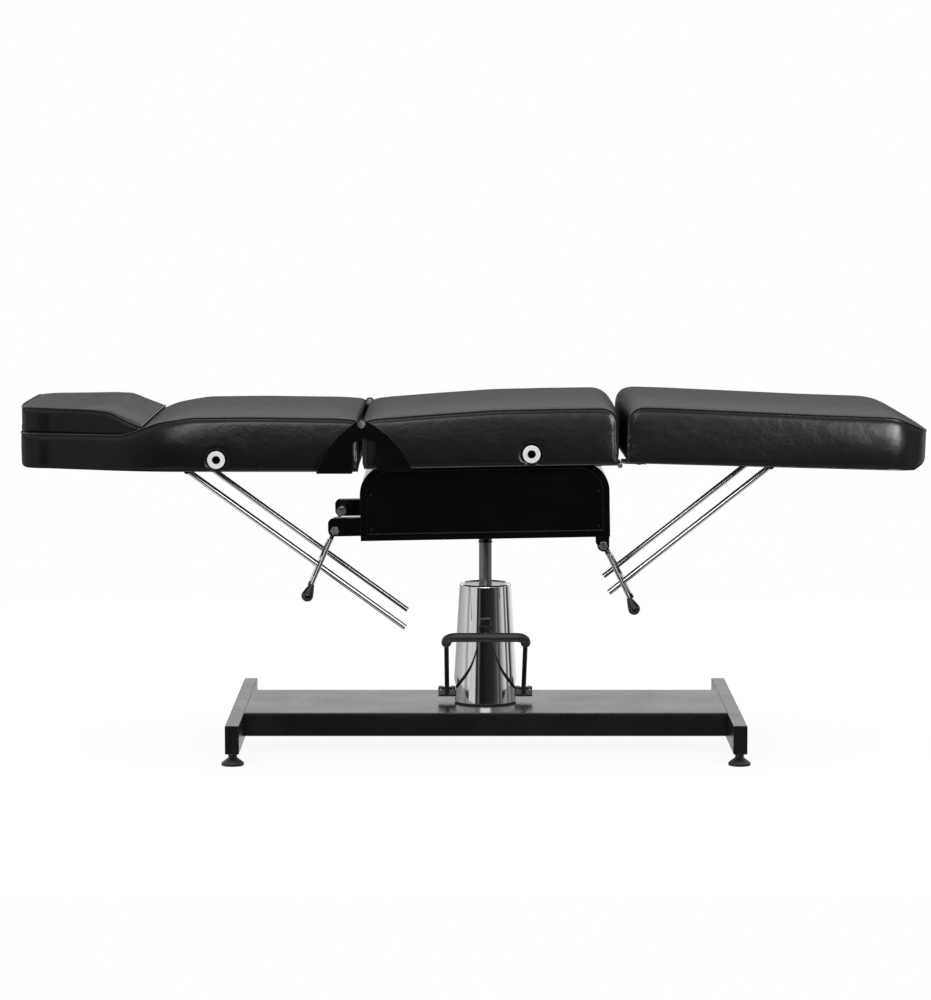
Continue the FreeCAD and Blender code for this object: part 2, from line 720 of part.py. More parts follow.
def lock_arm():
    """An angle that reaches out at the head side: an upright web with a folded top edge."""
    y = -ARM_FACE
    top = FRAME_BOTTOM + ARM_TOP
    low = top - ARM_HEIGHT
    x0, x1 = -ARM_REACH, -ARM_ROOT
    bend = ARM_NOSE * (1 - math.sqrt(0.5))
    edges = [line(Vector(x1, y, low), Vector(x1, y, top)), line(Vector(x1, y, top), Vector(x0 + ARM_NOSE, y, top)),
             arc(Vector(x0 + ARM_NOSE, y, top), Vector(x0 + bend, y, top - bend), Vector(x0, y, top - ARM_NOSE)),
             line(Vector(x0, y, top - ARM_NOSE), Vector(x0, y, low + ARM_NOSE)),
             arc(Vector(x0, y, low + ARM_NOSE), Vector(x0 + bend, y, low + bend), Vector(x0 + ARM_NOSE, y, low)),
             line(Vector(x0 + ARM_NOSE, y, low), Vector(x1, y, low))]
    web = plate(edges, ARM_THICK, Vector(0, 1, 0))
    flange = box(x0 + ARM_NOSE, x1, y, y + ARM_FLANGE, top - ARM_THICK, top)
    weld_pad = box(-FRAME_HEAD + SHEET + GAP, x1, -BAND_HALF, y, low + ARM_NOSE, top - ARM_NOSE)
    hole = crosswise(PIVOT_RADIUS, arm_pivot_x(), FRAME_BOTTOM + ARM_PIVOT_RISE, y - CUT, y + ARM_THICK + CUT)
    return place_seat(web.fuse([flange, weld_pad]).cut(hole).removeSplitter())


def lock_lug():
    """A plate that hangs below the foot-side corner of the frame."""
    y = -ARM_FACE
    x, z = LUG_PIVOT_X, FRAME_BOTTOM - LUG_PIVOT_DROP
    top = FRAME_BOTTOM + LUG_ROOT
    r = LUG_RADIUS
    w = LUG_SHOULDER
    edges = [line(Vector(x - r, y, z), Vector(x - w, y, FRAME_BOTTOM - r)),
             line(Vector(x - w, y, FRAME_BOTTOM - r), Vector(x - w, y, top)),
             line(Vector(x - w, y, top), Vector(x + r, y, top)), line(Vector(x + r, y, top), Vector(x + r, y, z)),
             arc(Vector(x + r, y, z), Vector(x, y, z - r), Vector(x - r, y, z))]
    lug = plate(edges, ARM_THICK, Vector(0, 1, 0))
    lug = lug.fuse(box(x - r, x + r, -BAND_HALF, y, FRAME_BOTTOM + CHANNEL_RISE, top))
    wall = box(FRAME_FOOT - SHEET - GAP, FRAME_FOOT + CUT, -BAND_HALF - CUT, y + ARM_THICK + CUT,
               FRAME_BOTTOM - GAP, top + CUT)
    return place_seat(lug.cut([wall, crosswise(PIVOT_RADIUS, x, z, y - CUT, y + ARM_THICK + CUT)]))


def arm_pivot_x():
    return -(ARM_REACH - ARM_PIVOT_INSET)


def back_pivot():
    return arm_pivot_x(), FRAME_BOTTOM + ARM_PIVOT_RISE


def leg_pivot():
    return LUG_PIVOT_X, FRAME_BOTTOM - LUG_PIVOT_DROP


def pivot_bolt(x, z):
    """The bolt that a lock lever swings on, head outside and nut inside."""
    nut_face = -LEVER_FACE + LEVER_THICK + GAP
    shank = crosswise(PIVOT_RADIUS, x, z, -ARM_FACE, nut_face + PIVOT_NUT_HEIGHT)
    head = turned_hexagon(PIVOT_HEAD_RADIUS, PIVOT_HEAD_HEIGHT, Vector(x, -ARM_FACE - PIVOT_HEAD_HEIGHT, z),
                          Vector(0, 1, 0))
    nut = turned_hexagon(PIVOT_HEAD_RADIUS, PIVOT_NUT_HEIGHT, Vector(x, nut_face, z), Vector(0, 1, 0))
    return place_seat(shank.fuse([head, nut]))


# Levers, drawn hanging straight down from a pivot at the origin


def lever(lock_reach):
    """A flat eye above, a round bar down to the handle, and a slotted lock plate for the rod on its outer side."""
    y0 = -LEVER_FACE
    y1 = y0 + LEVER_THICK
    half = LEVER_WIDTH / 2
    eye = crosswise(LEVER_EAR_RADIUS, 0, 0, y0, y1).fuse(box(-half, half, y0, y1, -LEVER_NECK, 0))
    bar = upright(HANDLE_RADIUS, 0, (y0 + y1) / 2, -(KNOB_REACH - KNOB_RADIUS), -(LEVER_NECK - LEVER_THICK))
    side = LEVER_THICK / 2
    lock = box(-LOCK_OFFSET - side, -LOCK_OFFSET + side, y0, -ROD_SIDE + ROD_RADIUS + LOCK_INNER_MARGIN,
               -(lock_reach + LOCK_HALF), -(lock_reach - LOCK_HALF))
    piece = eye.fuse([bar, lock])
    piece = piece.cut(rod_slot(lock_reach))
    return piece.cut(crosswise(PIVOT_RADIUS + RUN, 0, 0, y0 - CUT, y1 + CUT))


def far_lever(lock_reach):
    """The same lever with a thicker grip, round at its top, and a peg for the cap below."""
    y = -LEVER_FACE + LEVER_THICK / 2
    grip = upright(GRIP_RADIUS, 0, y, -GRIP_END, -GRIP_START)
    top = Part.makeSphere(GRIP_RADIUS, Vector(0, y, -GRIP_START))
    peg = upright(HANDLE_RADIUS, 0, y, -(GRIP_END + CAP_LENGTH / 2), -GRIP_START)
    return lever(lock_reach).fuse([grip, top, peg])


def rod_slot(lock_reach):
    """The long hole in the lock plate, with room for the rod to swing in it."""
    half = ROD_RADIUS + LOCK_SLOT_SIDE
    straight = LOCK_SLOT_HALF - half
    reach = LOCK_OFFSET + LEVER_THICK + CUT
    slot = box(-reach, reach, -ROD_SIDE - half, -ROD_SIDE + half, -lock_reach - straight, -lock_reach + straight)
    for z in (-lock_reach - straight, -lock_reach + straight):
        slot = slot.fuse(Part.makeCylinder(half, 2 * reach, Vector(-reach, -ROD_SIDE, z), Vector(1, 0, 0)))
    return slot


def lever_knob():
    """A ball knob with a short neck, pressed on the handle."""
    y = -LEVER_FACE + LEVER_THICK / 2
    top = -(KNOB_REACH - KNOB_RADIUS)
    ball = Part.makeSphere(KNOB_RADIUS, Vector(0, y, -KNOB_REACH))
    neck = Part.makeCone(KNOB_RADIUS - CONE_WALL, KNOB_NECK_RADIUS, KNOB_NECK, Vector(0, y, top - KNOB_NECK_RADIUS))
    knob = ball.fuse(neck)
    return knob.cut(upright(HANDLE_RADIUS, 0, y, top, 0))


def lever_cap():
    """The cap on the end of a far lever."""
    y = -LEVER_FACE + LEVER_THICK / 2
    cap = upright(GRIP_RADIUS, 0, y, -(GRIP_END + CAP_LENGTH), -GRIP_END)
    cap = cap.makeFillet(GRIP_RADIUS - HANDLE_RADIUS, [min(cap.Edges, key=lambda edge: edge.CenterOfMass.z)])
    return cap.cut(upright(HANDLE_RADIUS, 0, y, -(GRIP_END + CAP_LENGTH / 2), -GRIP_END + CUT))


def hang(shape, pivot, lean):
    """Lean a lever piece away from the column and hang it on its pivot."""
    x, z = seat_point(*pivot)
    placed = shape.copy()
    placed.rotate(Vector(0, 0, 0), Vector(0, 1, 0), lean)
    placed.translate(Vector(x, 0, z))
    return placed


def back_lever(shape):
    return hang(shape, back_pivot(), BACK_LEVER_ANGLE)


def leg_lever(shape):
    """The same for a lever of the leg rest, turned so that its lock plate is on the outer side."""
    turned = shape.mirror(Vector(0, 0, 0), Vector(1, 0, 0))
    return hang(turned, leg_pivot(), -LEG_LEVER_ANGLE)


# Rods, drawn along +X from the bracket pin at the origin


def support_rod(length):
    """A chrome tube, open at its free end, with a solid eye at the bracket."""
    tube = Part.makeCylinder(ROD_RADIUS, length, Vector(0, -ROD_SIDE, 0), Vector(1, 0, 0))
    tube = tube.cut(Part.makeCylinder(ROD_RADIUS - ROD_WALL, length, Vector(2 * ROD_EYE_RADIUS, -ROD_SIDE, 0),
                                      Vector(1, 0, 0)))
    eye = crosswise(ROD_EYE_RADIUS, 0, 0, -ROD_SIDE - ROD_EYE_HALF, -ROD_SIDE + ROD_EYE_HALF)
    hole = crosswise(ROD_HOLE, 0, 0, -ROD_SIDE - ROD_EYE_HALF - CUT, -ROD_SIDE + ROD_EYE_HALF + CUT)
    return tube.fuse(eye).cut(hole)


def lock_centre(pivot, lean, lock_reach):
    """Where a rod crosses its lock plate."""
    x, z = seat_point(*pivot)
    angle = math.radians(lean)
    out = math.copysign(LOCK_OFFSET, lean)
    return (x - lock_reach * math.sin(angle) - out * math.cos(angle),
            z - lock_reach * math.cos(angle) + out * math.sin(angle))


def back_rod_pin():
    return -BACK_ROD_X, BACK_BOTTOM - ROD_PIN_DROP


def leg_rod_pin():
    return leg_point(LEG_ROD_X, LEG_BOTTOM_RISE - ROD_PIN_DROP)


def lay_rod(shape, pin, target):
    """Turn a rod from its pin towards its lock and move it there."""
    angle = math.atan2(target[1] - pin[1], target[0] - pin[0])
    placed = shape.copy()
    placed.rotate(Vector(0, 0, 0), Vector(0, 1, 0), -math.degrees(angle))
    placed.translate(Vector(pin[0], 0, pin[1]))
    return placed


def back_rod():
    target = lock_centre(back_pivot(), BACK_LEVER_ANGLE, BACK_LOCK_REACH)
    return lay_rod(support_rod(BACK_ROD_LENGTH), back_rod_pin(), target)


def leg_rod():
    target = lock_centre(leg_pivot(), -LEG_LEVER_ANGLE, LEG_LOCK_REACH)
    return lay_rod(support_rod(LEG_ROD_LENGTH), leg_rod_pin(), target)


# Rod brackets, drawn below a board whose underside is at height zero


def rod_bracket():
    """A base plate with two ears, one at each side of the rod eye."""
    half = BRACKET_LENGTH / 2
    base = box(-half, half, -ROD_SIDE - BRACKET_WIDTH / 2, -ROD_SIDE + BRACKET_WIDTH / 2, -SHEET, 0)
    pieces = []
    for y in (-ROD_SIDE - ROD_EYE_HALF - GAP - SHEET, -ROD_SIDE + ROD_EYE_HALF + GAP):
        pieces.append(bracket_ear(y))
    bracket = base.fuse(pieces)
    relief = crosswise(ROD_EYE_RADIUS + GAP, 0, -ROD_PIN_DROP, -ROD_SIDE - ROD_EYE_HALF - GAP,
                       -ROD_SIDE + ROD_EYE_HALF + GAP)
    bracket = bracket.cut(relief)
    reach = ROD_EYE_HALF + SHEET + CUT
    return bracket.cut(crosswise(ROD_PIN_RADIUS, 0, -ROD_PIN_DROP, -ROD_SIDE - reach, -ROD_SIDE + reach))


def bracket_ear(y):
    half = BRACKET_EAR / 2
    r = ROD_EYE_RADIUS
    z = -ROD_PIN_DROP
    edges = [line(Vector(-half, y, 0), Vector(half, y, 0)), line(Vector(half, y, 0), Vector(r, y, z)),
             arc(Vector(r, y, z), Vector(0, y, z - r), Vector(-r, y, z)), line(Vector(-r, y, z), Vector(-half, y, 0))]
    return plate(edges, SHEET, Vector(0, 1, 0))


def bracket_pin():
    """The headed pin through the bracket ears and the rod eye."""
    reach = ROD_EYE_HALF + GAP + SHEET
    pin = crosswise(ROD_PIN_RADIUS, 0, -ROD_PIN_DROP, -ROD_SIDE - reach, -ROD_SIDE + reach)
    for y in (-ROD_SIDE - reach - PIN_HEAD_HEIGHT, -ROD_SIDE + reach):
        pin = pin.fuse(crosswise(PIN_HEAD_RADIUS, 0, -ROD_PIN_DROP, y, y + PIN_HEAD_HEIGHT))
    return pin


def bracket_screws():
    """Screws at the two ends of a bracket base."""
    x = BRACKET_LENGTH / 2 - SCREW_HEAD_RADIUS - SHEET
    y = BRACKET_WIDTH / 2 - SCREW_HEAD_RADIUS - SHEET
    return [screw_up(side * x, -ROD_SIDE + step * y, -SHEET) for side in (-1, 1) for step in (-1, 1)]


def screw_up(x, y, z):
    """A pan-head screw driven upwards, its head below the sheet at height z."""
    head = upright(SCREW_HEAD_RADIUS, x, y, z - SCREW_HEAD_HEIGHT, z)
    return head.fuse(upright(SCREW_RADIUS, x, y, z, z + SCREW_LENGTH))


def back_bracket(shape):
    placed = shape.copy()
    placed.translate(Vector(-BACK_ROD_X, 0, BACK_BOTTOM))
    return placed


def leg_bracket(shape):
    placed = shape.copy()
    placed.translate(Vector(LEG_ROD_X, 0, LEG_BOTTOM_RISE))
    return place_leg(placed)


# Fan hinges, drawn about the hinge pin, reaching towards +X


def fan(reach, root, drop, face):
    """A fan plate with a round nose at the pin, a bowed outer edge and a flange under the cushion."""
    y = -face
    nose = FAN_NOSE
    chord = Vector(reach, 0, -drop) - Vector(0, 0, nose)
    middle = Vector(0, y, nose) + chord * 0.5
    out = Vector(-chord.z, 0, chord.x) / chord.Length
    waist = root * FAN_WAIST_SHARE
    hip = drop * FAN_HIP_SHARE
    edges = [arc(Vector(0, y, nose), middle + out * FAN_BULGE, Vector(reach, y, -drop)),
             line(Vector(reach, y, -drop), Vector(root, y, -drop)),
             line(Vector(root, y, -drop), Vector(waist, y, -hip)),
             line(Vector(waist, y, -hip), Vector(-nose, y, -2 * nose)),
             line(Vector(-nose, y, -2 * nose), Vector(-nose, y, 0)),
             arc(Vector(-nose, y, 0), Vector(-nose * math.sqrt(0.5), y, nose * math.sqrt(0.5)),
                 Vector(0, y, nose))]
    sheet = plate(edges, FAN_SHEET, Vector(0, 1, 0))
    flange = box(root, reach, y, y + FAN_FLANGE, -drop - SHEET, -drop)
    return sheet.fuse(flange)


def seat_fan():
    piece = fan(SEAT_FAN_REACH, SEAT_FAN_ROOT, HINGE_RISE, FAN_INNER_FACE + FAN_SHEET)
    piece = piece.cut(crosswise(HINGE_PIN_RADIUS, 0, 0, -FAN_INNER_FACE - FAN_SHEET - CUT, -FAN_INNER_FACE + CUT))
    piece.translate(Vector(-HINGE_X, 0, HINGE_Z))
    return place_seat(piece)


def back_fan_face():
    return FAN_INNER_FACE + 2 * FAN_SHEET + FAN_GAP


def back_fan():
    face = back_fan_face()
    piece = fan(BACK_FAN_REACH, BACK_FAN_ROOT, BACK_BOTTOM_DROP, face)
    piece = piece.mirror(Vector(0, 0, 0), Vector(1, 0, 0))
    piece = piece.cut(crosswise(HINGE_PIN_RADIUS + RUN, 0, 0, -face - CUT, -face + FAN_SHEET + CUT))
    piece.translate(Vector(BACK_HINGE_X, 0, BACK_HINGE_Z))
    return piece


def hinge_rivet():
    """The rivet through both fan plates, with a domed outer head."""
    face = back_fan_face()
    shank = crosswise(HINGE_PIN_RADIUS, 0, 0, -face - RUN, -FAN_INNER_FACE)
    inner = crosswise(HINGE_HEAD_RADIUS, 0, 0, -FAN_INNER_FACE, -FAN_INNER_FACE + HINGE_HEAD_HEIGHT)
    outer = crosswise(HINGE_HEAD_RADIUS, 0, 0, -face - RUN - HINGE_HEAD_HEIGHT, -face - RUN)
    rivet = shank.fuse([inner, outer])
    rivet.translate(Vector(BACK_HINGE_X, 0, BACK_HINGE_Z))
    return rivet


def fan_screws(reach, root, level, face, hinge_x, direction):
    """Two screws up through the flange of a fan plate."""
    y = -face + FAN_FLANGE - 2 * SCREW_HEAD_RADIUS
    places = (root + FAN_SCREW_INSET, reach - FAN_SCREW_INSET)
    return [screw_up(hinge_x + direction * x, y, level - SHEET) for x in places]


# Cushions: lofts through upright sections, each with drawn-in sides and a crowned top


def section(x, half, bottom, seam, crown):
    """One upright section of a cushion, a little too deep, for on_board to trim flat."""
    low = half - SIDE_BULGE
    high = half - SEAM_INSET
    foot = bottom - BOTTOM_TRIM
    middle = (bottom + seam) / 2
    return Part.Wire([
        line(Vector(x, -low, foot), Vector(x, low, foot)),
        arc(Vector(x, low, foot), Vector(x, half, middle), Vector(x, high, seam)),
        arc(Vector(x, high, seam), Vector(x, 0, seam + crown), Vector(x, -high, seam)),
        arc(Vector(x, -high, seam), Vector(x, -half, middle), Vector(x, -low, foot))])


def loft(stations):
    return Part.makeLoft([section(*station) for station in stations], True, False)


def seat_stations():
    """Stations from the head end to the foot end of the seat cushion."""
    z0, t, c, w = FRAME_TOP, SEAT_THICK, SEAT_CROWN, HALF_WIDTH
    a, b = -SEAT_HEAD_END, SEAT_FOOT_END
    span = b - a
    head_shares = ((0.0, 0.975, 0.815, 0.10), (0.010, 0.985, 0.848, 0.35), (0.030, 0.995, 0.878, 0.65),
                   (0.080, 1.0, 0.912, 0.95), (0.27, 1.0, 0.950, 1.0), (0.52, 1.0, 1.0, 1.0))
    stations = [(a + span * x, w * k, z0, z0 + t * h, c * n) for x, k, h, n in head_shares]
    foot_shares = ((0.23, 1.0, 0.0, 1.0, 1.0), (0.050, 1.0, 0.0, 0.982, 0.95), (0.022, 0.995, 0.0, 0.93, 0.8),
                   (0.007, 0.985, 0.06, 0.85, 0.5), (0.0, 0.970, 0.15, 0.72, 0.2))
    stations += [(b - span * x, w * k, z0 + t * low, z0 + t * h, c * n) for x, k, low, h, n in foot_shares]
    return stations


def back_stations():
    """Stations from the hinge to the head end: full back, a step down, and a tapering head part."""
    z0, t, c, w = BACK_BOTTOM, BACK_THICK, BACK_CROWN, HALF_WIDTH
    a = BACK_HINGE_X - BACK_END
    full = -a
    run = STEP_START - full
    hinge_shares = ((0.0, 0.975, 0.895, 0.1), (0.012, 0.985, 0.925, 0.35), (0.04, 0.995, 0.955, 0.65),
                    (0.14, 1.0, 0.98, 0.9), (0.45, 1.0, 0.995, 1.0), (0.80, 1.0, 1.0, 1.0))
    stations = [(a - run * x, w * k, z0, z0 + t * h, c * n) for x, k, h, n in hinge_shares]
    step = STEP_END - STEP_START
    fall = t - HEAD_THICK
    step_shares = ((0.0, 0.04, 0.95), (0.28, 0.155, 0.80), (0.45, 0.325, 0.65), (0.61, 0.575, 0.45),
                   (0.74, 0.765, 0.30), (0.88, 0.88, 0.18), (1.0, 0.935, 0.12), (1.15, 0.975, HEAD_CROWN_SHARE))
    for x, f, n in step_shares:
        place = STEP_START + step * x
        stations.append((-place, head_half(place), z0, z0 + t - fall * f, c * n))
    flat_shares = (0.35, 0.7, 1.0)
    for x in flat_shares:
        place = STEP_END + (HEAD_REACH - HEAD_CORNER - STEP_END) * x
        stations.append((-place, head_half(place), z0, z0 + HEAD_THICK, c * HEAD_CROWN_SHARE))
    corner_shares = ((0.45, 0.0), (0.80, 0.03), (0.95, 0.09), (1.0, 0.18))
    for share, low in corner_shares:
        place = HEAD_REACH - HEAD_CORNER * (1 - share)
        stations.append((-place, head_half(place), z0 + t * low, z0 + HEAD_THICK, c * HEAD_CROWN_SHARE))
    return stations


def head_half(place):
    """Half width of the back at a distance from the column: straight, tapered, then rounded."""
    if place <= TAPER_START:
        return HALF_WIDTH
    corner = HEAD_REACH - HEAD_CORNER
    slope = (HALF_WIDTH - HEAD_HALF_WIDTH) / (corner - TAPER_START)
    half = HALF_WIDTH - slope * (min(place, corner) - TAPER_START)
    if place <= corner:
        return half
    step = place - corner
    return half - HEAD_CORNER + math.sqrt(HEAD_CORNER ** 2 - step ** 2)


def leg_stations():
    """Stations from the hinge to the foot end of the leg cushion, in the leg frame."""
    z0, t, c, w = LEG_BOTTOM_RISE, LEG_THICK, LEG_CROWN, HALF_WIDTH
    a, b = LEG_HEAD_END, LEG_LENGTH
    thin = t - LEG_THINNING
    near_shares = ((0.0, 0.955, 0.11, 0.77, 0.2), (0.005, 0.978, 0.05, 0.88, 0.5), (0.014, 0.99, 0.02, 0.945, 0.8),
                   (0.03, 0.998, 0.0, 0.98, 0.95), (0.07, 1.0, 0.0, 1.0, 1.0), (0.40, 1.0, 0.0, 1.0, 1.0))
    span = b - a
    stations = [(a + span * x, w * k, z0 + t * low, z0 + t * h, c * n) for x, k, low, h, n in near_shares]
    straight = b - LEG_CORNER
    stations.append((straight - LEG_CORNER, w, z0, z0 + thin, c))
    end_shares = ((0.0, 0.0, 0.05, 1.0), (0.35, 0.0, 0.26, 0.85), (0.65, 0.0, 0.54, 0.6), (0.85, 0.04, 0.80, 0.45),
                  (0.95, 0.10, 0.93, 0.35), (1.0, 0.25, 1.0, 0.25))
    for x, low, f, n in end_shares:
        step = LEG_CORNER * x
        half = w - LEG_CORNER + math.sqrt(LEG_CORNER ** 2 - step ** 2)
        stations.append((straight + step, half, z0 + t * low, z0 + thin - LEG_NOSE_DROP * f, c * n))
    return stations


def pillow_stations():
    """Stations from the head end to the thin front edge of the wedge pillow."""
    z0 = BACK_BOTTOM + HEAD_THICK
    x0 = -HEAD_REACH + PILLOW_INSET
    x1 = x0 + PILLOW_LENGTH
    wedge = x1 - PILLOW_WEDGE
    h = PILLOW_HEIGHT
    stations = []
    back_shares = ((0.0, 0.93), (0.06, 0.985), (0.30, 1.0), (0.65, 1.0), (1.0, 1.0))
    for share, top in back_shares:
        x = x0 + HEAD_CORNER * share
        stations.append((x, head_half(-x + PILLOW_INSET) - PILLOW_INSET, z0, z0 + h * top, PILLOW_CROWN))
    x = (x0 + HEAD_CORNER + wedge) / 2
    stations.append((x, head_half(-x) - PILLOW_INSET, z0, z0 + h, PILLOW_CROWN))
    wedge_shares = ((0.0, 0.04, 0.2), (0.30, 0.14, 0.5), (0.51, 0.29, 0.8), (0.71, 0.53, 1.0), (0.87, 0.82, 1.0),
                    (0.96, 0.97, 1.0), (1.0, 1.0, 1.0))
    for share, f, n in wedge_shares:
        x = wedge + PILLOW_WEDGE * share
        top = z0 + h - (h - PILLOW_TIP) * f
        crown = PILLOW_CROWN + (PILLOW_FRONT_CROWN - PILLOW_CROWN) * n
        stations.append((x, head_half(-x) - PILLOW_INSET, z0, top, crown))
    return stations


def on_board(cushion, board):
    """Trim a cushion flat along the underside of its board, and hollow it for the board."""
    bounds = board.BoundBox
    middle = bounds.Center
    pocket = board.copy()
    pocket.scale(1 + GAP / (bounds.YLength / 2), Vector(middle.x, middle.y, bounds.ZMin))
    all_round = cushion.BoundBox
    below = box(all_round.XMin - CUT, all_round.XMax + CUT, all_round.YMin - CUT, all_round.YMax + CUT,
                all_round.ZMin - CUT, bounds.ZMin)
    return cushion.cut(below).cut(pocket)


def seat_board():
    edge = HALF_WIDTH - BOARD_MARGIN
    return box(-SEAT_HEAD_END + BOARD_MARGIN, SEAT_FOOT_END - BOARD_MARGIN, -edge, edge,
               FRAME_TOP, FRAME_TOP + BOARD_THICK)


def taper_board(points, z):
    """A board cut to an outline with straight sides."""
    corners = [Vector(x, y, z) for x, y in points]
    return Part.Face(Part.makePolygon(corners + corners[:1])).extrude(Vector(0, 0, BOARD_THICK))


def back_board():
    edge = HALF_WIDTH - BOARD_MARGIN
    head_edge = HEAD_HALF_WIDTH - BOARD_MARGIN
    start = BACK_HINGE_X - BACK_END - BOARD_MARGIN
    corner = -HEAD_REACH + HEAD_CORNER
    end = -HEAD_REACH + BOARD_MARGIN
    nose = head_edge - HEAD_CORNER + BOARD_MARGIN
    outline = [(start, -edge), (-TAPER_START, -edge), (corner, -head_edge), (end, -nose),
               (end, nose), (corner, head_edge), (-TAPER_START, edge), (start, edge)]
    return taper_board(outline, BACK_BOTTOM)


def leg_board():
    edge = HALF_WIDTH - BOARD_MARGIN
    corner = LEG_LENGTH - LEG_CORNER
    end = LEG_LENGTH - 2 * BOARD_MARGIN
    nose = edge - LEG_CORNER + BOARD_MARGIN
    start = LEG_HEAD_END + BOARD_MARGIN
    outline = [(start, -edge), (corner, -edge), (end, -nose), (end, nose), (corner, edge), (start, edge)]
    return taper_board(outline, LEG_BOTTOM_RISE)


def socket_cut(x, z):
    """The room of one armrest socket in a cushion: the tube and the seat of its ring."""
    face = HALF_WIDTH + SIDE_BULGE
    bore = crosswise(SOCKET_TUBE_RADIUS, x, z, -face, -HALF_WIDTH + RING_SEAT + SOCKET_DEPTH)
    return bore.fuse(crosswise(RING_OUTER_RADIUS + GAP, x, z, -face - CUT, -HALF_WIDTH + RING_SEAT))


def socket_tube(x, z):
    """A steel tube in the foam, lying on the board, open at the side of the cushion."""
    y0 = -HALF_WIDTH + RING_SEAT
    tube = crosswise(SOCKET_TUBE_RADIUS, x, z, y0, y0 + SOCKET_DEPTH)
    return tube.cut(crosswise(SOCKET_RADIUS, x, z, y0 - CUT, y0 + SOCKET_DEPTH + CUT))


def socket_ring(x, z):
    """The white ring round the mouth of a socket."""
    y1 = -HALF_WIDTH + RING_SEAT
    ring = crosswise(RING_OUTER_RADIUS, x, z, y1 - RING_SEAT - RING_FLANGE / 2, y1)
    rim = ring.makeFillet(RING_FLANGE / 3, [min(ring.Edges, key=lambda edge: edge.CenterOfMass.y)])
    return rim.cut(crosswise(SOCKET_RADIUS, x, z, y1 - RING_SEAT - RING_FLANGE - CUT, y1 + CUT))


def with_sockets(cushion, x, z):
    for cut in both_sides(socket_cut(x, z)):
        cushion = cushion.cut(cut)
    return cushion


def seat_cushion():
    cushion = on_board(loft(seat_stations()), seat_board())
    return place_seat(with_sockets(cushion, SEAT_SOCKET_X, FRAME_TOP + SOCKET_RISE))


def back_cushion():
    cushion = on_board(loft(back_stations()), back_board())
    return with_sockets(cushion, -BACK_SOCKET_X, BACK_BOTTOM + SOCKET_RISE)


def leg_cushion():
    return place_leg(on_board(loft(leg_stations()), leg_board()))


def pillow():
    """The wedge pillow, hollowed below to the top of the back cushion that it lies on."""
    support = loft(back_stations())
    support.translate(Vector(0, 0, GAP))
    parts = loft(pillow_stations()).cut(support).Solids
    return max(parts, key=lambda solid: solid.CenterOfMass.z)


# Leg butt hinges


def knuckle_spans(outer):
    """Y ranges of the knuckles of one leaf: the two outer thirds, or the middle third."""
    y0 = -BUTT_SIDE - BUTT_WIDTH / 2
    third = BUTT_WIDTH / 3
    if outer:
        return [(y0, y0 + third - GAP / 2), (y0 + 2 * third + GAP / 2, y0 + BUTT_WIDTH)]
    return [(y0 + third + GAP / 2, y0 + 2 * third - GAP / 2)]


def knuckles(x, z, outer):
    spans = knuckle_spans(outer)
    rings = [crosswise(BUTT_RADIUS, x, z, y0, y1) for y0, y1 in spans]
    return rings


def butt_hole(x, z, radius):
    reach = BUTT_SIDE + BUTT_WIDTH / 2 + CUT
    return crosswise(radius, x, z, -reach, -BUTT_SIDE + BUTT_WIDTH / 2 + CUT)


def seat_leaf():
    """The leaf under the seat board, with the two outer knuckles of a butt hinge."""
    angle = math.radians(SEAT_TILT)
    pin_x = LEG_HINGE_X * math.cos(angle) + (LEG_HINGE_Z - FRAME_BOTTOM) * math.sin(angle)
    pin_z = FRAME_BOTTOM + (LEG_HINGE_Z - FRAME_BOTTOM) * math.cos(angle) - LEG_HINGE_X * math.sin(angle)
    y0 = -BUTT_SIDE - BUTT_WIDTH / 2
    leaf = box(pin_x - BUTT_LEAF, pin_x - BUTT_RADIUS - GAP, y0, y0 + BUTT_WIDTH, FRAME_TOP - SHEET, FRAME_TOP)
    tongues = [box(pin_x - BUTT_RADIUS - GAP - SHEET, pin_x, a, b, FRAME_TOP - SHEET, FRAME_TOP)
               for a, b in knuckle_spans(True)]
    piece = leaf.fuse(tongues + knuckles(pin_x, pin_z, True))
    return place_seat(piece.cut(butt_hole(pin_x, pin_z, BUTT_PIN_RADIUS)))


def leg_leaf():
    """The leaf under the leg board, with the middle knuckle."""
    y0 = -BUTT_SIDE - BUTT_WIDTH / 2
    leaf = box(BUTT_RADIUS + GAP, BUTT_LEAF, y0, y0 + BUTT_WIDTH, LEG_BOTTOM_RISE - SHEET, LEG_BOTTOM_RISE)
    a, b = knuckle_spans(False)[0]
    tongue = box(0, BUTT_RADIUS + GAP + SHEET, a, b, BUTT_RADIUS - SHEET, BUTT_RADIUS)
    riser = box(BUTT_RADIUS + GAP, BUTT_RADIUS + GAP + SHEET, a, b, BUTT_RADIUS - SHEET, LEG_BOTTOM_RISE)
    piece = leaf.fuse([tongue, riser] + knuckles(0, 0, False))
    return place_leg(piece.cut(butt_hole(0, 0, BUTT_PIN_RADIUS + RUN)))


def butt_pin():
    y0 = -BUTT_SIDE - BUTT_WIDTH / 2
    return crosswise(BUTT_PIN_RADIUS, LEG_HINGE_X, LEG_HINGE_Z, y0, y0 + BUTT_WIDTH)


def butt_screw_places(x):
    return [(x, -BUTT_SIDE + side * BUTT_WIDTH / 3) for side in (-1, 1)]


# Screws of the seat, the back and the leg


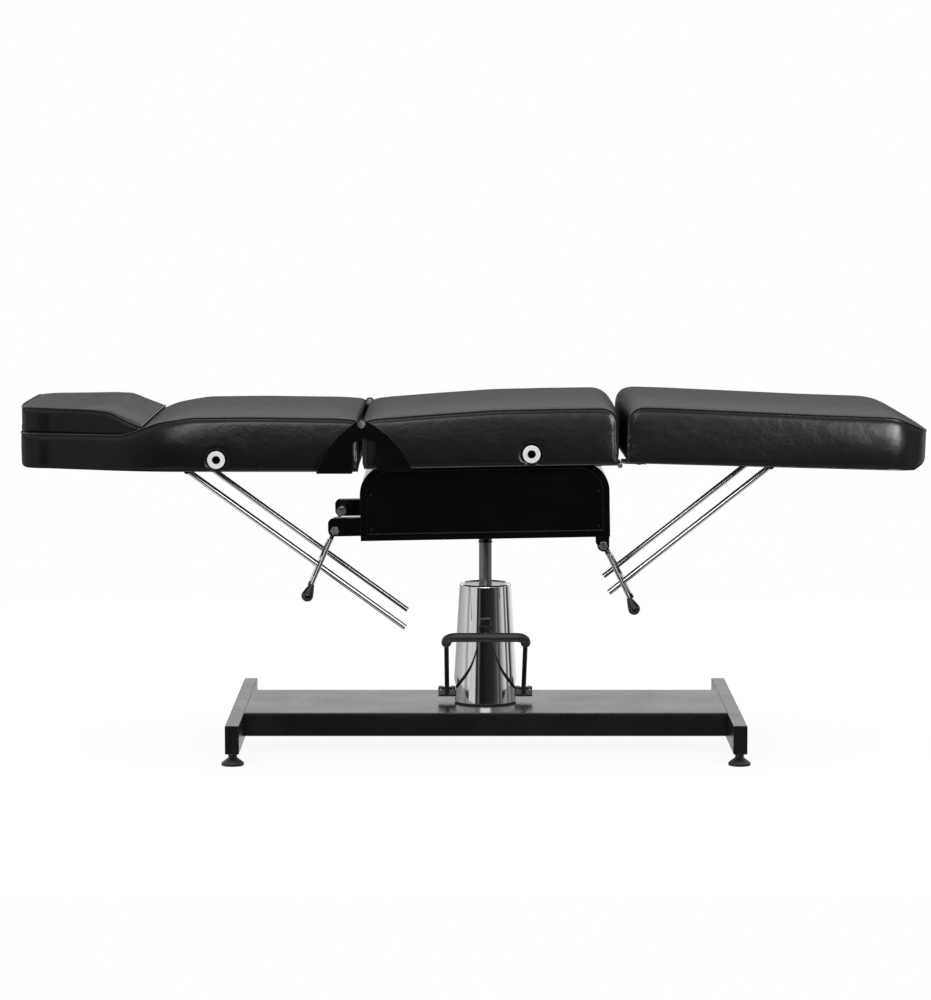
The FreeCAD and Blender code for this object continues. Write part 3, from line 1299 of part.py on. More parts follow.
def seat_screws():
    """Screws up into the seat board: fan flanges, hinge leaves and the frame band."""
    x_leaf = LEG_HINGE_X - BUTT_LEAF * BUTT_SCREW_SHARE
    screws = fan_screws(SEAT_FAN_REACH, SEAT_FAN_ROOT, FRAME_TOP, FAN_INNER_FACE + FAN_SHEET, -HINGE_X, 1)
    screws += [screw_up(x, y, FRAME_TOP - SHEET) for x, y in butt_screw_places(x_leaf)]
    x_band = FRAME_FOOT - FRAME_CORNER - 2 * SCREW_HEAD_RADIUS
    y_band = BAND_HALF - FRAME_CORNER / 2
    screws += [screw_up(side * x_band, -y_band, FRAME_TOP - SHEET) for side in (-1, 1)]
    return [place_seat(one) for screw in screws for one in both_sides(screw)]


def panel_screws():
    screws = [panel_screw(x, z) for x, z in panel_screw_places()]
    return [place_seat(one) for screw in screws for one in both_sides(screw)]


def panel_screw_places():
    inset = PANEL_BORDER + 2 * SCREW_HEAD_RADIUS
    high = FRAME_TOP - FRAME_CORNER
    return [(x, z) for x in (-FRAME_HEAD + inset, FRAME_FOOT - inset) for z in (FRAME_BOTTOM + inset, high)]


def panel_screw(x, z):
    """A small screw in the recessed field of a side panel."""
    field = -PANEL_FACE + PANEL_RECESS
    head = crosswise(SCREW_HEAD_RADIUS / 2, x, z, field - SCREW_HEAD_HEIGHT / 2, field)
    return head.fuse(crosswise(SCREW_RADIUS / 2, x, z, field, field + SHEET - PANEL_RECESS / 2))


def back_screws():
    screws = fan_screws(BACK_FAN_REACH, BACK_FAN_ROOT, BACK_BOTTOM, back_fan_face(), BACK_HINGE_X, -1)
    screws += [back_bracket(screw) for screw in bracket_screws()]
    return [one for screw in screws for one in both_sides(screw)]


def leg_screws():
    x_leaf = BUTT_LEAF * BUTT_SCREW_SHARE
    screws = [place_leg(screw_up(x, y, LEG_BOTTOM_RISE - SHEET)) for x, y in butt_screw_places(x_leaf)]
    screws += [leg_bracket(screw) for screw in bracket_screws()]
    return [one for screw in screws for one in both_sides(screw)]


def drill(shape, screws):
    """Holes for the screws that pass through a piece."""
    return shape.cut(screws)


def seat_socket_pieces(make):
    return [place_seat(one) for one in both_sides(make(SEAT_SOCKET_X, FRAME_TOP + SOCKET_RISE))]


def back_socket_pieces(make):
    return both_sides(make(-BACK_SOCKET_X, BACK_BOTTOM + SOCKET_RISE))


def column_place():
    """How far the column stands towards the foot end from the middle of the bed."""
    foot_end = leg_point(LEG_LENGTH, LEG_BOTTOM_RISE + LEG_THICK / 2)[0]
    return (HEAD_REACH - foot_end) / 2


def build():
    """Every node by its name, each a list of solids."""
    seat_fix, back_fix, leg_fix, panel_fix = seat_screws(), back_screws(), leg_screws(), panel_screws()
    near_back_rod, near_leg_rod = back_rod(), leg_rod()
    back_one, leg_one = lever(BACK_LOCK_REACH), lever(LEG_LOCK_REACH)
    back_two, leg_two = far_lever(BACK_LOCK_REACH), far_lever(LEG_LOCK_REACH)
    nodes = {
        "base_beam": [base_beam()],
        "cross_feet": [cross_foot(side) for side in (-1, 1)],
        "cover_gasket": [cover_gasket()],
        "levelling_feet": [foot_pad(x, y) for x, y in foot_places()],
        "foot_studs": [foot_stud(x, y) for x, y in foot_places()],
        "column_cover": [column_cover()],
        "pump_body": [pump_body()],
        "pump_flange": [pump_flange()],
        "flange_bolts": [flange_bolt(x, y) for x, y in flange_bolt_places()],
        "piston_gland": [piston_gland()],
        "piston": [piston()],
        "thrust_ring": [thrust_ring()],
        "pedal_frame": [pedal_frame()],
        "pedal_sleeve": [pedal_sleeve()],
        "pedal_shaft": [pedal_shaft()] + [pedal_strap(side) for side in (-1, 1)],
        "pedal_bolts": [pedal_bolt(x) for x in clamp_bolt_places()],
        "hub_socket": [hub_socket()],
        "hub_bolts": [hub_bolt(x, y) for x, y in hub_bolt_places()],
        "frame_band": [drill(frame_band(), seat_fix + panel_fix)],
        "side_panels": both_sides(drill(side_panel(), panel_fix)),
        "cross_members": [cross_member(side * (HUB_PLATE_LENGTH / 2 - HUB_BOLT_INSET)) for side in (-1, 1)],
        "lock_arms": both_sides(lock_arm()),
        "lock_lugs": both_sides(lock_lug()),
        "lever_bolts": [one for place in (back_pivot(), leg_pivot()) for one in both_sides(pivot_bolt(*place))],
        "seat_board": [drill(place_seat(seat_board()), seat_fix)],
        "seat_cushion": [seat_cushion()],
        "seat_fans": both_sides(drill(seat_fan(), seat_fix)),
        "hinge_rivets": both_sides(hinge_rivet()),
        "seat_socket_tubes": seat_socket_pieces(socket_tube),
        "seat_socket_rings": seat_socket_pieces(socket_ring),
        "seat_screws": seat_fix,
        "panel_screws": panel_fix,
        "seat_hinge_leaves": both_sides(drill(seat_leaf(), seat_fix)) + both_sides(butt_pin()),
        "back_board": [drill(back_board(), back_fix)],
        "back_cushion": [back_cushion()],
        "pillow": [pillow()],
        "back_fans": both_sides(drill(back_fan(), back_fix)),
        "back_socket_tubes": back_socket_pieces(socket_tube),
        "back_socket_rings": back_socket_pieces(socket_ring),
        "back_brackets": both_sides(drill(back_bracket(rod_bracket()), back_fix)),
        "back_bracket_pins": both_sides(back_bracket(bracket_pin())),
        "back_screws": back_fix,
        "leg_board": [drill(place_leg(leg_board()), leg_fix)],
        "leg_cushion": [leg_cushion()],
        "leg_hinge_leaves": both_sides(drill(leg_leaf(), leg_fix)),
        "leg_brackets": both_sides(drill(leg_bracket(rod_bracket()), leg_fix)),
        "leg_bracket_pins": both_sides(leg_bracket(bracket_pin())),
        "leg_screws": leg_fix,
        "back_rod_near": [near_back_rod],
        "back_rod_far": [mirror(near_back_rod)],
        "leg_rod_near": [near_leg_rod],
        "leg_rod_far": [mirror(near_leg_rod)],
        "back_lever_near": [back_lever(back_one)],
        "back_lever_far": [mirror(back_lever(back_two))],
        "leg_lever_near": [leg_lever(leg_one)],
        "leg_lever_far": [mirror(leg_lever(leg_two))],
        "back_knob_near": [back_lever(lever_knob())],
        "back_cap_far": [mirror(back_lever(lever_cap()))],
        "leg_knob_near": [leg_lever(lever_knob())],
        "leg_cap_far": [mirror(leg_lever(lever_cap()))],
    }
    return nodes


def main():
    """Write one file for each node."""
    os.makedirs("parts", exist_ok=True)
    shift = Vector(column_place(), 0, 0)
    for name, solids in build().items():
        moved = []
        for solid in solids:
            for one in solid.Solids:
                piece = one.copy()
                piece.translate(shift)
                moved.append(piece)
        shape = moved[0] if len(moved) == 1 else Part.makeCompound(moved)
        shape.exportStep(os.path.join("parts", name + ".step"))
        print(name, len(moved), round(shape.Volume), shape.isValid())


main()
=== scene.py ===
# %% [markdown]
# A three-section bed on a pump pedestal, dressed for a plain studio
#
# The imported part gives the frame: every rigid piece, in its place and on its body. This lesson dresses it.
# Padded cushions are laid over the plain solids of the CAD, each finish of the record gets its material,
# and a pale studio lights the whole. Blender measures in metres. Sizes that a maker reads off a rule are
# written in millimetres here and multiplied by MM.

# %% Load the frame and note its size
import json
import math
from types import SimpleNamespace
import bmesh
import bpy
import numpy as np
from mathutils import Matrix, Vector
from mathutils.bvhtree import BVHTree


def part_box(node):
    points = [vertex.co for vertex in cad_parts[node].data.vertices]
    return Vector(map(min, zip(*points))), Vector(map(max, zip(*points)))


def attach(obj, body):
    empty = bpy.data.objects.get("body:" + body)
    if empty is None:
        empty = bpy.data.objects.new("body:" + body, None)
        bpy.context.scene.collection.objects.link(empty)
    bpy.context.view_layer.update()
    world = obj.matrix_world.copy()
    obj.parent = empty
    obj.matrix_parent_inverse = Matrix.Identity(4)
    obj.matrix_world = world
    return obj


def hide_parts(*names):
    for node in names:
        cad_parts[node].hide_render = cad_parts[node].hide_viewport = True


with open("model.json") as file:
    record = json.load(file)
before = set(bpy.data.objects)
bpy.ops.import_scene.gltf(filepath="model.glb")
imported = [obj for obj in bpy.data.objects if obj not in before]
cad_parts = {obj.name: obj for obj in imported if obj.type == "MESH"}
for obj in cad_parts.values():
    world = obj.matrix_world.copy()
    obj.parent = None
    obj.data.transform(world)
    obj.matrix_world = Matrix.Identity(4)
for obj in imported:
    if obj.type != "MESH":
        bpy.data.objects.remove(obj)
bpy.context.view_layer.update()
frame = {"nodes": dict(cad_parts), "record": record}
MM = 0.001
piston_low, piston_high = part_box("piston")
COLUMN_X = (piston_low.x + piston_high.x) / 2
print("frame:", len(frame["nodes"]), "pieces, column at x", round(COLUMN_X / MM, 1), "mm")

# %% [markdown]
# Colours and shader nodes
#
# A colour is written as the hex code that a paint chart gives. Blender adds up light in linear values, so
# one function turns a code into them. Nodes could be laid out by hand in the shader editor. One small
# function that adds a node, fills its inputs and links them was chosen instead, because a material is then
# a few lines that are read from top to bottom.

# %% A hex colour as linear values
def linear(code):
    """A hex colour as linear red, green, blue and alpha.

    Each part c, from 0 to 1, becomes c / 12.92 up to 0.04045, and ((c + 0.055) / 1.055)^2.4 above.
    """
    parts = [int(code[i:i + 2], 16) / 255 for i in (1, 3, 5)]
    return tuple(c / 12.92 if c <= 0.04045 else ((c + 0.055) / 1.055) ** 2.4 for c in parts) + (1.0,)


print("mid grey #808080 is", round(linear("#808080")[0], 3), "in linear light")

# %% One function that adds a node
def grey(value):
    """A grey as red, green, blue and alpha."""
    return (value, value, value, 1.0)


def add_node(tree, kind, inputs=None, stops=(), **settings):
    """Add a node to a tree, make its settings, and link or fill its inputs.

    A plain number that goes into a colour is a grey. Stops are (place, grey) pairs of a colour ramp.
    """
    node = tree.nodes.new(kind)
    for name, value in settings.items():
        setattr(node, name, value)
    for name, value in (inputs or {}).items():
        socket = node.inputs[name]
        if isinstance(value, bpy.types.NodeSocket):
            tree.links.new(value, socket)
        else:
            socket.default_value = grey(value) if socket.type == "RGBA" and np.isscalar(value) else value
    if stops:
        elements = node.color_ramp.elements
        elements.remove(elements[-1])
        elements[0].position = stops[0][0]
        elements[0].color = grey(stops[0][1])
        for place, value in stops[1:]:
            elements.new(place).color = grey(value)
    return node


# The Mix node has a set of sockets for each kind of data. These are the numbers of its colour sockets.
MIX_FIRST, MIX_SECOND, MIX_RESULT = 6, 7, 2

# %% [markdown]
# What all finishes share
#
# No real finish is quite even. Gloss drifts in patches, colour wanders a little, a surface has waves and
# grain, and sharp edges catch light along a narrow round. Pictures wrapped round the pieces could give this.
# Noise that is worked out from the place in the piece was chosen, because it needs no unwrapping and follows
# a piece that moves. The scale of a pattern is one over its real width in metres.

# %% A surface with uneven gloss, bumps and softened edges
NOISE_LOW, NOISE_HIGH = 0.3, 0.7    # nearly all of the noise lies between these


def surface(name, colour, roughness, metallic=0.0, gloss_swing=0.0, patch=33.3, tone_swing=0.0, bumps=(),
            edge=0.0, finer=(1, 1, 1), **sockets):
    """A Principled surface for one finish.

    Roughness swings by gloss_swing, and colour by the share tone_swing, over patches of the given width.
    Each bump is (pattern, width, height). Edge is the width over which a sharp edge is softened. All widths
    and heights are in millimetres, and finer says how many times finer the patterns are along x, y and z.
    Any other name is a socket of the shader.
    """
    material = bpy.data.materials.new(name)
    material.use_nodes = True
    tree = material.node_tree
    tree.nodes.clear()
    place = add_node(tree, "ShaderNodeTexCoord").outputs["Object"]
    place = add_node(tree, "ShaderNodeMapping", {"Vector": place, "Scale": finer}).outputs["Vector"]
    shader = add_node(tree, "ShaderNodeBsdfPrincipled", {"Metallic": metallic, "Roughness": roughness})
    for socket, value in sockets.items():
        shader.inputs[socket.replace("_", " ")].default_value = value
    cloud = add_node(tree, "ShaderNodeTexNoise", {"Vector": place, "Scale": 1 / (patch * MM), "Detail": 4.0})
    if gloss_swing:
        swung = add_node(tree, "ShaderNodeMapRange", {
            "Value": cloud.outputs["Fac"], "From Min": NOISE_LOW, "From Max": NOISE_HIGH,
            "To Min": roughness - gloss_swing, "To Max": roughness + gloss_swing})
        tree.links.new(swung.outputs["Result"], shader.inputs["Roughness"])
    base = linear(colour)
    shader.inputs["Base Color"].default_value = base
    if tone_swing:
        light = tuple(min(1.0, c * (1 + tone_swing)) for c in base[:3]) + (1.0,)
        dark = tuple(c * (1 - tone_swing) for c in base[:3]) + (1.0,)
        mottled = add_node(tree, "ShaderNodeMix", {"Factor": cloud.outputs["Fac"], MIX_FIRST: dark,
                                                   MIX_SECOND: light}, data_type="RGBA")
        tree.links.new(mottled.outputs[MIX_RESULT], shader.inputs["Base Color"])
    shape = {}
    if edge:
        softened = add_node(tree, "ShaderNodeBevel", {"Radius": edge * MM}, samples=4)
        shape = {"Normal": softened.outputs["Normal"]}
    for pattern, width, height in bumps:
        where = {"Vector": place, "Scale": 1 / (width * MM)}
        if pattern == "grain":
            field = add_node(tree, "ShaderNodeTexVoronoi", where, feature="F1").outputs["Distance"]
        else:
            field = add_node(tree, "ShaderNodeTexNoise", {**where, "Detail": 3.0}).outputs["Fac"]
        raised = add_node(tree, "ShaderNodeBump",
                          {"Height": field, "Distance": height * MM, "Strength": 1.0, **shape})
        shape = {"Normal": raised.outputs["Normal"]}
    for normal in shape.values():
        tree.links.new(normal, shader.inputs["Normal"])
        tree.links.new(normal, shader.inputs["Coat Normal"])
    add_node(tree, "ShaderNodeOutputMaterial", {"Surface": shader.outputs["BSDF"]})
    return material

# %% [markdown]
# Upholstery
#
# The cushions are covered in vinyl: knitted cloth under a soft plastic skin that a hot roller embosses with
# a fine grain. A single glossy black would turn pale where light grazes it. A matt base without a reflection
# of its own, under a weak and blurred coat, was chosen, because the weight of the coat then sets how bright
# the sheen is.

# %% Vinyl, its welts and the threads
GRAIN = 1.22    # width of the embossed grain, drawn a little coarser than the real one so that it shows
# Embossed vinyl over foam. Broad waves of the foam break up its dim sheen, and the grain keeps it soft.
vinyl = surface("soft black vinyl", "#0b0b0b", 0.6, gloss_swing=0.08, patch=45.5, tone_swing=0.12,
                Specular_IOR_Level=0.0, Coat_Weight=0.34, Coat_Roughness=0.25,
                bumps=(("noise", 38.5, 1.1), ("noise", 5.88, 0.16), ("grain", GRAIN, 0.10)))
# The same vinyl pulled tight over a cord. It is smoother, so a welt shows as a thin bright line.
vinyl_welt = surface("vinyl welt", "#0c0c0c", 0.42, gloss_swing=0.05, patch=16.7,
                     bumps=(("grain", GRAIN, 0.08),))
# Bonded polyester sewing thread, in two colours. Its twisted fibres scatter light and have no gloss.
thread = surface("grey thread", "#8a8a88", 0.7, gloss_swing=0.1, patch=2.5)
dark_thread = surface("black thread", "#1d1d1d", 0.6, gloss_swing=0.1, patch=2.5)
finishes = {"black_vinyl": vinyl}
print("upholstery: vinyl grain", GRAIN, "mm wide")

# %% [markdown]
# Painted steel
#
# The base is powder coated and the seat frame is enamelled. Both are black, and the eye tells them apart by
# their gloss alone: baked powder flows into a fine orange peel that spreads a highlight, while sprayed enamel
# dries almost like glass. One colour with two values of roughness and two bumps was enough.

# %% Powder coat and enamel
# Polyester powder baked on steel tube. The fine orange peel turns a lamp into a soft, broad highlight.
finishes["base_black"] = surface(
    "satin black powder coat", "#181818", 0.26, gloss_swing=0.05, patch=111, tone_swing=0.06, edge=1.2,
    bumps=(("noise", 1.11, 0.04),))
# Gloss enamel sprayed on sheet steel. A thin clear coat mirrors the studio, a little wavy.
finishes["frame_black"] = surface(
    "gloss black enamel", "#0b0b0c", 0.14, gloss_swing=0.04, patch=71.4, edge=1.0,
    bumps=(("noise", 6.25, 0.03),), Coat_Weight=0.25, Coat_Roughness=0.05)
print("painted steel:", finishes["base_black"].name, "and", finishes["frame_black"].name)

# %% [markdown]
# Bare and plated metal
#
# Metal has no colour of its own beneath its reflection, so these materials differ in how sharply they mirror.
# A picture of the surroundings could be painted on them, but it would stay behind when the bed turns. Real
# reflections of a studio with light and dark flats were chosen.

# %% Chrome, zinc, blackened, cast and ground metal
# Chrome on polished steel. It mirrors clearly, with the slow waves of the rolled sheet under it.
finishes["chrome_plate"] = surface(
    "bright chrome", "#dcdcde", 0.05, metallic=1.0, gloss_swing=0.02, patch=55.6, edge=0.6,
    bumps=(("noise", 83.3, 0.05),))
# Zinc plated in a bath. It is grey and a little cloudy, so a screw glints without a clear reflection.
finishes["zinc_steel"] = surface(
    "zinc plated steel", "#b0b2b5", 0.28, metallic=1.0, gloss_swing=0.08, patch=8.33, tone_swing=0.12,
    edge=0.5)
# Steel blackened in a hot oxide bath and oiled. Its edges shine faintly.
finishes["black_bolt"] = surface(
    "blackened steel", "#161617", 0.30, gloss_swing=0.06, patch=16.7, edge=0.6, bumps=(("noise", 2.5, 0.04),))
# Iron cast in sand. Its coarse skin looks dull and pitted.
finishes["cast_pump"] = surface(
    "cast pump body", "#2c2d2f", 0.55, metallic=0.7, gloss_swing=0.1, patch=11.1,
    bumps=(("noise", 3.33, 0.3),))
# A ground piston rod. Streaks along it, fourteen times finer across, draw the highlight out.
finishes["ground_steel"] = surface(
    "ground steel", "#808183", 0.34, metallic=0.8, gloss_swing=0.08, patch=25, tone_swing=0.25,
    finer=(14, 14, 1), bumps=(("noise", 25, 0.06),))
# Thin chromed tube and bar keeps the fine lines of drawing, so it mirrors less sharply than the cover.
drawn_chrome = surface("chrome on drawn steel", "#d2d3d6", 0.15, metallic=1.0, gloss_swing=0.03, patch=33.3)
print("metals:", finishes["chrome_plate"].name, "for the cover,", drawn_chrome.name, "for rods and levers")

# %% [markdown]
# Rubber, plastic and plywood
#
# The small pieces are moulded or cut. A mould gives its own gloss to what comes out of it: a polished one
# gives the shiny ball knobs, a blasted one the matt feet. A texture picture could show this too. Roughness
# for the gloss and a fine bump for the blasting were enough, because the pieces are small.

# %% Moulded and cut pieces
# Nylon from a blasted mould. The foot looks matt and even.
finishes["foot_pad"] = surface(
    "moulded black foot", "#141414", 0.5, gloss_swing=0.08, patch=12.5, edge=1.5,
    bumps=(("noise", 2.0, 0.08),))
# Gasket cut from rubber sheet. It is dull all over.
finishes["gasket_rubber"] = surface("gasket rubber", "#0e0e0e", 0.6, gloss_swing=0.08, patch=8.33)
# Moulded rubber on the pedal. Handling has polished it a little, so its ribs catch light.
finishes["sleeve_rubber"] = surface(
    "rubber sleeve", "#151515", 0.46, gloss_swing=0.06, patch=16.7, bumps=(("noise", 2.38, 0.06),))
# Plywood stained dark. The grain runs along the bed, twelve times finer across.
finishes["plywood"] = surface(
    "stained plywood", "#2a2621", 0.62, gloss_swing=0.08, patch=55.6, tone_swing=0.25, finer=(1, 12, 12),
    bumps=(("noise", 16.7, 0.2),))
# White nylon from a smooth mould. The socket rings have a soft, clean sheen.
finishes["white_plastic"] = surface("white plastic", "#f2f2f0", 0.28, gloss_swing=0.04, patch=16.7, edge=0.8)
# Phenolic ball knobs from a polished mould. Each shows a small bright spot.
finishes["knob_plastic"] = surface(
    "black knob plastic", "#111112", 0.22, gloss_swing=0.04, patch=16.7, bumps=(("noise", 5.0, 0.04),))
print("finishes in all:", len(finishes))

# %% [markdown]
# Dress the CAD pieces
#
# The record says which finish each piece has. The material could be put into the mesh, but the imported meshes
# are left as they are. It is linked to the object instead, which is what the link setting of a slot is for.

# %% Give every CAD piece its finish
DRAWN_PIECES = ("back_rod_", "leg_rod_", "back_lever_", "leg_lever_")


def dress(node, material):
    """Link a material to a CAD piece and leave its mesh alone."""
    if not node.material_slots:
        node.data.materials.append(material)
    for place in node.material_slots:
        place.link = "OBJECT"
        place.material = material


for part in frame["record"]["subparts"]:
    drawn = part["node"].startswith(DRAWN_PIECES)
    dress(frame["nodes"][part["node"]], drawn_chrome if drawn else finishes[part["material_slot"]])

# %% [markdown]
# Helpers for new meshes
#
# New pieces are surfaces: grids of points worked out as whole arrays, or a ring carried along a line. They
# could be modelled with Blender's own tools, but an array keeps its rows, so that a seam is later found by
# its row number. These helpers make lines, grids of faces and tubes.

# %% A new object and its points
def make_object(name, vertices, faces, material, body):
    """A smooth mesh that rides on a body of the frame."""
    mesh = bpy.data.meshes.new(name)
    mesh.from_pydata(vertices.tolist(), [], faces)
    mesh.validate()
    mesh.update()
    mesh.polygons.foreach_set("use_smooth", [True] * len(mesh.polygons))
    mesh.materials.append(material)
    thing = bpy.data.objects.new(name, mesh)
    bpy.context.scene.collection.objects.link(thing)
    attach(thing, body)
    return thing


def points_of(mesh):
    """The points of a mesh as rows of x, y and z."""
    flat = np.empty(len(mesh.vertices) * 3)
    mesh.vertices.foreach_get("co", flat)
    return flat.reshape(-1, 3)


def set_points(mesh, points):
    """Move the points of a mesh."""
    mesh.vertices.foreach_set("co", points.ravel())
    mesh.update()

# %% Lines with rounded corners and even spacing
LONGEST_TRIM_SHARE = 0.48    # share of a side that a round may use up


def unit(rows):
    """Each row divided by its length."""
    return rows / np.linalg.norm(rows, axis=-1, keepdims=True)


def rounded(corners, step=4.0):
    """A line through corners (x, z, radius), each turned into a curve with a point about every step.

    The curve starts and ends at trim = radius / tan(half the angle) from its corner and is quadratic between:
    (1 - t)^2 times its start, plus 2 t (1 - t) times the corner, plus t^2 times its end.
    """
    spots = np.array([corner[:2] for corner in corners], float)
    line = [spots[:1]]
    for before, spot, after, (_, _, radius) in zip(spots, spots[1:], spots[2:], corners[1:]):
        back, ahead = before - spot, after - spot
        shorter = min(np.linalg.norm(back), np.linalg.norm(ahead))
        back, ahead = unit(back), unit(ahead)
        angle = math.acos(max(-1.0, min(1.0, float(back @ ahead))))
        if radius <= 0 or angle > math.pi - 1e-3:
            line.append(spot[None])
            continue
        trim = min(radius / math.tan(angle / 2), LONGEST_TRIM_SHARE * shorter)
        arc = trim * math.tan(angle / 2) * (math.pi - angle)
        t = np.linspace(0, 1, max(2, int(arc / step)) + 1)[:, None]
        start, end = spot + back * trim, spot + ahead * trim
        line.append((1 - t) ** 2 * start + 2 * t * (1 - t) * spot + t ** 2 * end)
    line.append(spots[-1:])
    return np.vstack(line)


def lengths_along(line):
    """The way from the first point of a line to each of its points."""
    return np.r_[0, np.cumsum(np.linalg.norm(np.diff(line, axis=0), axis=1))]


def resample(line, step):
    """The same line with evenly spaced points, about one every step."""
    lengths = lengths_along(line)
    at = np.linspace(0, lengths[-1], max(2, int(round(lengths[-1] / step))) + 1)
    return np.stack([np.interp(at, lengths, column) for column in line.T], axis=1)

# %% Faces of a grid, and tubes
def quads(grid):
    """Faces between the rows and columns of a grid of point numbers."""
    return np.stack([grid[:-1, :-1], grid[:-1, 1:], grid[1:, 1:], grid[1:, :-1]], axis=-1).reshape(-1, 4)


def tube(points, radius, sides=8):
    """Points, walls and end caps of a round tube along a line.

    A ring is the line's point plus radius times (cos a times side + sin a times the direction square to it).
    Side starts level, and each ring takes it over from the ring before, so that the tube doesn't twist.
    """
    tangent = unit(np.gradient(points, axis=0))
    level = np.cross(tangent[0], (0.0, 0.0, 1.0))
    steep = np.linalg.norm(level) < 0.2
    side = np.empty_like(points)
    side[0] = unit(np.cross(tangent[0], (0.0, 1.0, 0.0)) if steep else level)
    for k in range(1, len(points)):
        side[k] = unit(side[k - 1] - tangent[k] * (side[k - 1] @ tangent[k]))
    other = np.cross(tangent, side)
    angle = np.arange(sides) * 2 * math.pi / sides
    rings = points[:, None] + radius * (np.cos(angle)[None, :, None] * side[:, None]
                                        + np.sin(angle)[None, :, None] * other[:, None])
    numbers = np.arange(len(points) * sides).reshape(-1, sides)
    caps = np.array([numbers[0][::-1], numbers[-1]])
    return rings.reshape(-1, 3), quads(np.c_[numbers, numbers[:, :1]]), caps


def join_tubes(tubes):
    """The points and faces of several tubes as one mesh."""
    faces, base = [], 0
    for points, walls, caps in tubes:
        faces += (walls + base).tolist() + (caps + base).tolist()
        base += len(points)
    return np.vstack([points for points, _, _ in tubes]), faces


def drift(s, scale, phase):
    """An uneven wave between -1 and 1 along a length s.

    It is a sine of s over scale whose phase and height are each slowly changed by another sine.
    """
    turn = 2 * math.pi * s / scale
    return (np.sin(turn + phase + 1.4 * np.sin(turn / 6.3 + phase))
            * (0.55 + 0.45 * np.sin(turn / 9.1 + 2.1 * phase)))

# %% [markdown]
# Where the three sections lie
#
# At rest the seat and the leg section are tilted by a degree or so. A cushion is easier to draw level, so
# each is worked out level, in millimetres, and one function for each section turns it and puts it in place.
# The tilt could sit on the object instead, but a finished piece stays unturned at the origin, because the
# export moves every object there before it bakes.

# %% From a level section to its place
SEAT_TILT = math.radians(1.04)
SEAT_PIVOT_Z = 455.0
LEG_TILT = math.radians(1.57)
LEG_HINGE_X, LEG_HINGE_Z = 272.0, 614.0
COLUMN = [COLUMN_X, 0, 0]


def seat_place(p):
    """Seat points turned about the column at the pivot's height: head side down, foot side up."""
    x, y, z = p[:, 0], p[:, 1], p[:, 2] - SEAT_PIVOT_Z
    cos, sin = math.cos(SEAT_TILT), math.sin(SEAT_TILT)
    return np.c_[x * cos - z * sin, y, SEAT_PIVOT_Z + z * cos + x * sin] * MM + COLUMN


def back_place(p):
    """Back points, which are level at rest."""
    return p * MM + COLUMN


def leg_place(p):
    """Leg points, drawn from their hinge, turned about it with the foot end down."""
    x, y, z = p[:, 0], p[:, 1], p[:, 2]
    cos, sin = math.cos(LEG_TILT), math.sin(LEG_TILT)
    return np.c_[LEG_HINGE_X + x * cos + z * sin, y, LEG_HINGE_Z - x * sin + z * cos] * MM + COLUMN


print("tilts in degrees: seat", round(math.degrees(SEAT_TILT), 2), "leg", round(math.degrees(LEG_TILT), 2))

# %% [markdown]
# The skin of a cushion
#
# A real cushion is a top panel, two side panels and a cover below, sewn together over foam with a welt in
# each seam. It could be a bevelled box, but that has no seams to press in. Here a band follows the side
# outline across the width, closely spaced beside the welts, and rings shrink from the outline to a line
# inside each side panel. Every row is known by its number, so seams are found without searching.

# %% The side outline as a closed run of points
STEP = 7.0                # spacing of points along a cushion, in millimetres
FINE_STEP_SHARE = 0.8     # spacing round the ends, as a share of the step
PEAK_SHARE = 0.45         # way from a side panel's ends to its middle line, as a share of its height
END_POINTS = 6            # points under each end


def cushion_loop(top, bottom_z, step):
    """Round a cushion's side: its top line from head to foot, then back along the bottom.

    Returns the loop, how many of its points are on top, and the line halfway up from peak to peak.
    """
    x = top[:, 0]
    reach = (np.max(top[:, 1]) - bottom_z) * PEAK_SHARE
    peaks = x.min() + reach, x.max() - reach
    first = np.argmax(x >= peaks[0])
    last = len(x) - 1 - np.argmax(x[::-1] <= peaks[1])
    crest = top[first - 1:last + 2]
    stations = np.linspace(*peaks, int((peaks[1] - peaks[0]) / step) + 1)
    middle = np.c_[stations, np.interp(stations, crest[:, 0], crest[:, 1])]
    head = resample(np.vstack([top[:first], middle[:1]]), step * FINE_STEP_SHARE)
    foot = resample(np.vstack([middle[-1:], top[last + 1:]]), step * FINE_STEP_SHARE)
    over = np.vstack([head, middle[1:-1], foot])
    under_x = np.r_[np.linspace(top[-1, 0], peaks[1], END_POINTS + 2)[1:-1], stations[::-1],
                    np.linspace(peaks[0], top[0, 0], END_POINTS + 2)[1:-1]]
    loop = np.vstack([over, np.c_[under_x, np.full(len(under_x), bottom_z)]])
    return loop, len(over), np.c_[stations, (middle[:, 1] + bottom_z) / 2]

# %% The band across the width
ROW_HALF = 285.0                                # half width that the spacing of the rows is worked out for
SEAM_ROWS = np.array([0, 1.6, 4.2, 8.5])        # rows beside a welt, in millimetres from it
TOP_ROLL, TOP_ROLL_REACH = 1.8, 7.0             # rise of the skin beside a welt, and how soon
HEM, END_HEM, HEM_SLOPE = 13.0, 15.0, 4.0       # flat edge of the underside
BOARD_DEPTH = 5.0                               # how far the board sits up inside that edge


def band_rows(step):
    """Places of the rows across a cushion, as shares of its half width from -1 to 1."""
    edge = 1 - SEAM_ROWS / ROW_HALF
    return np.r_[-edge, np.linspace(-edge[-1], edge[-1], int(2 * ROW_HALF / step))[1:-1], edge[::-1]]


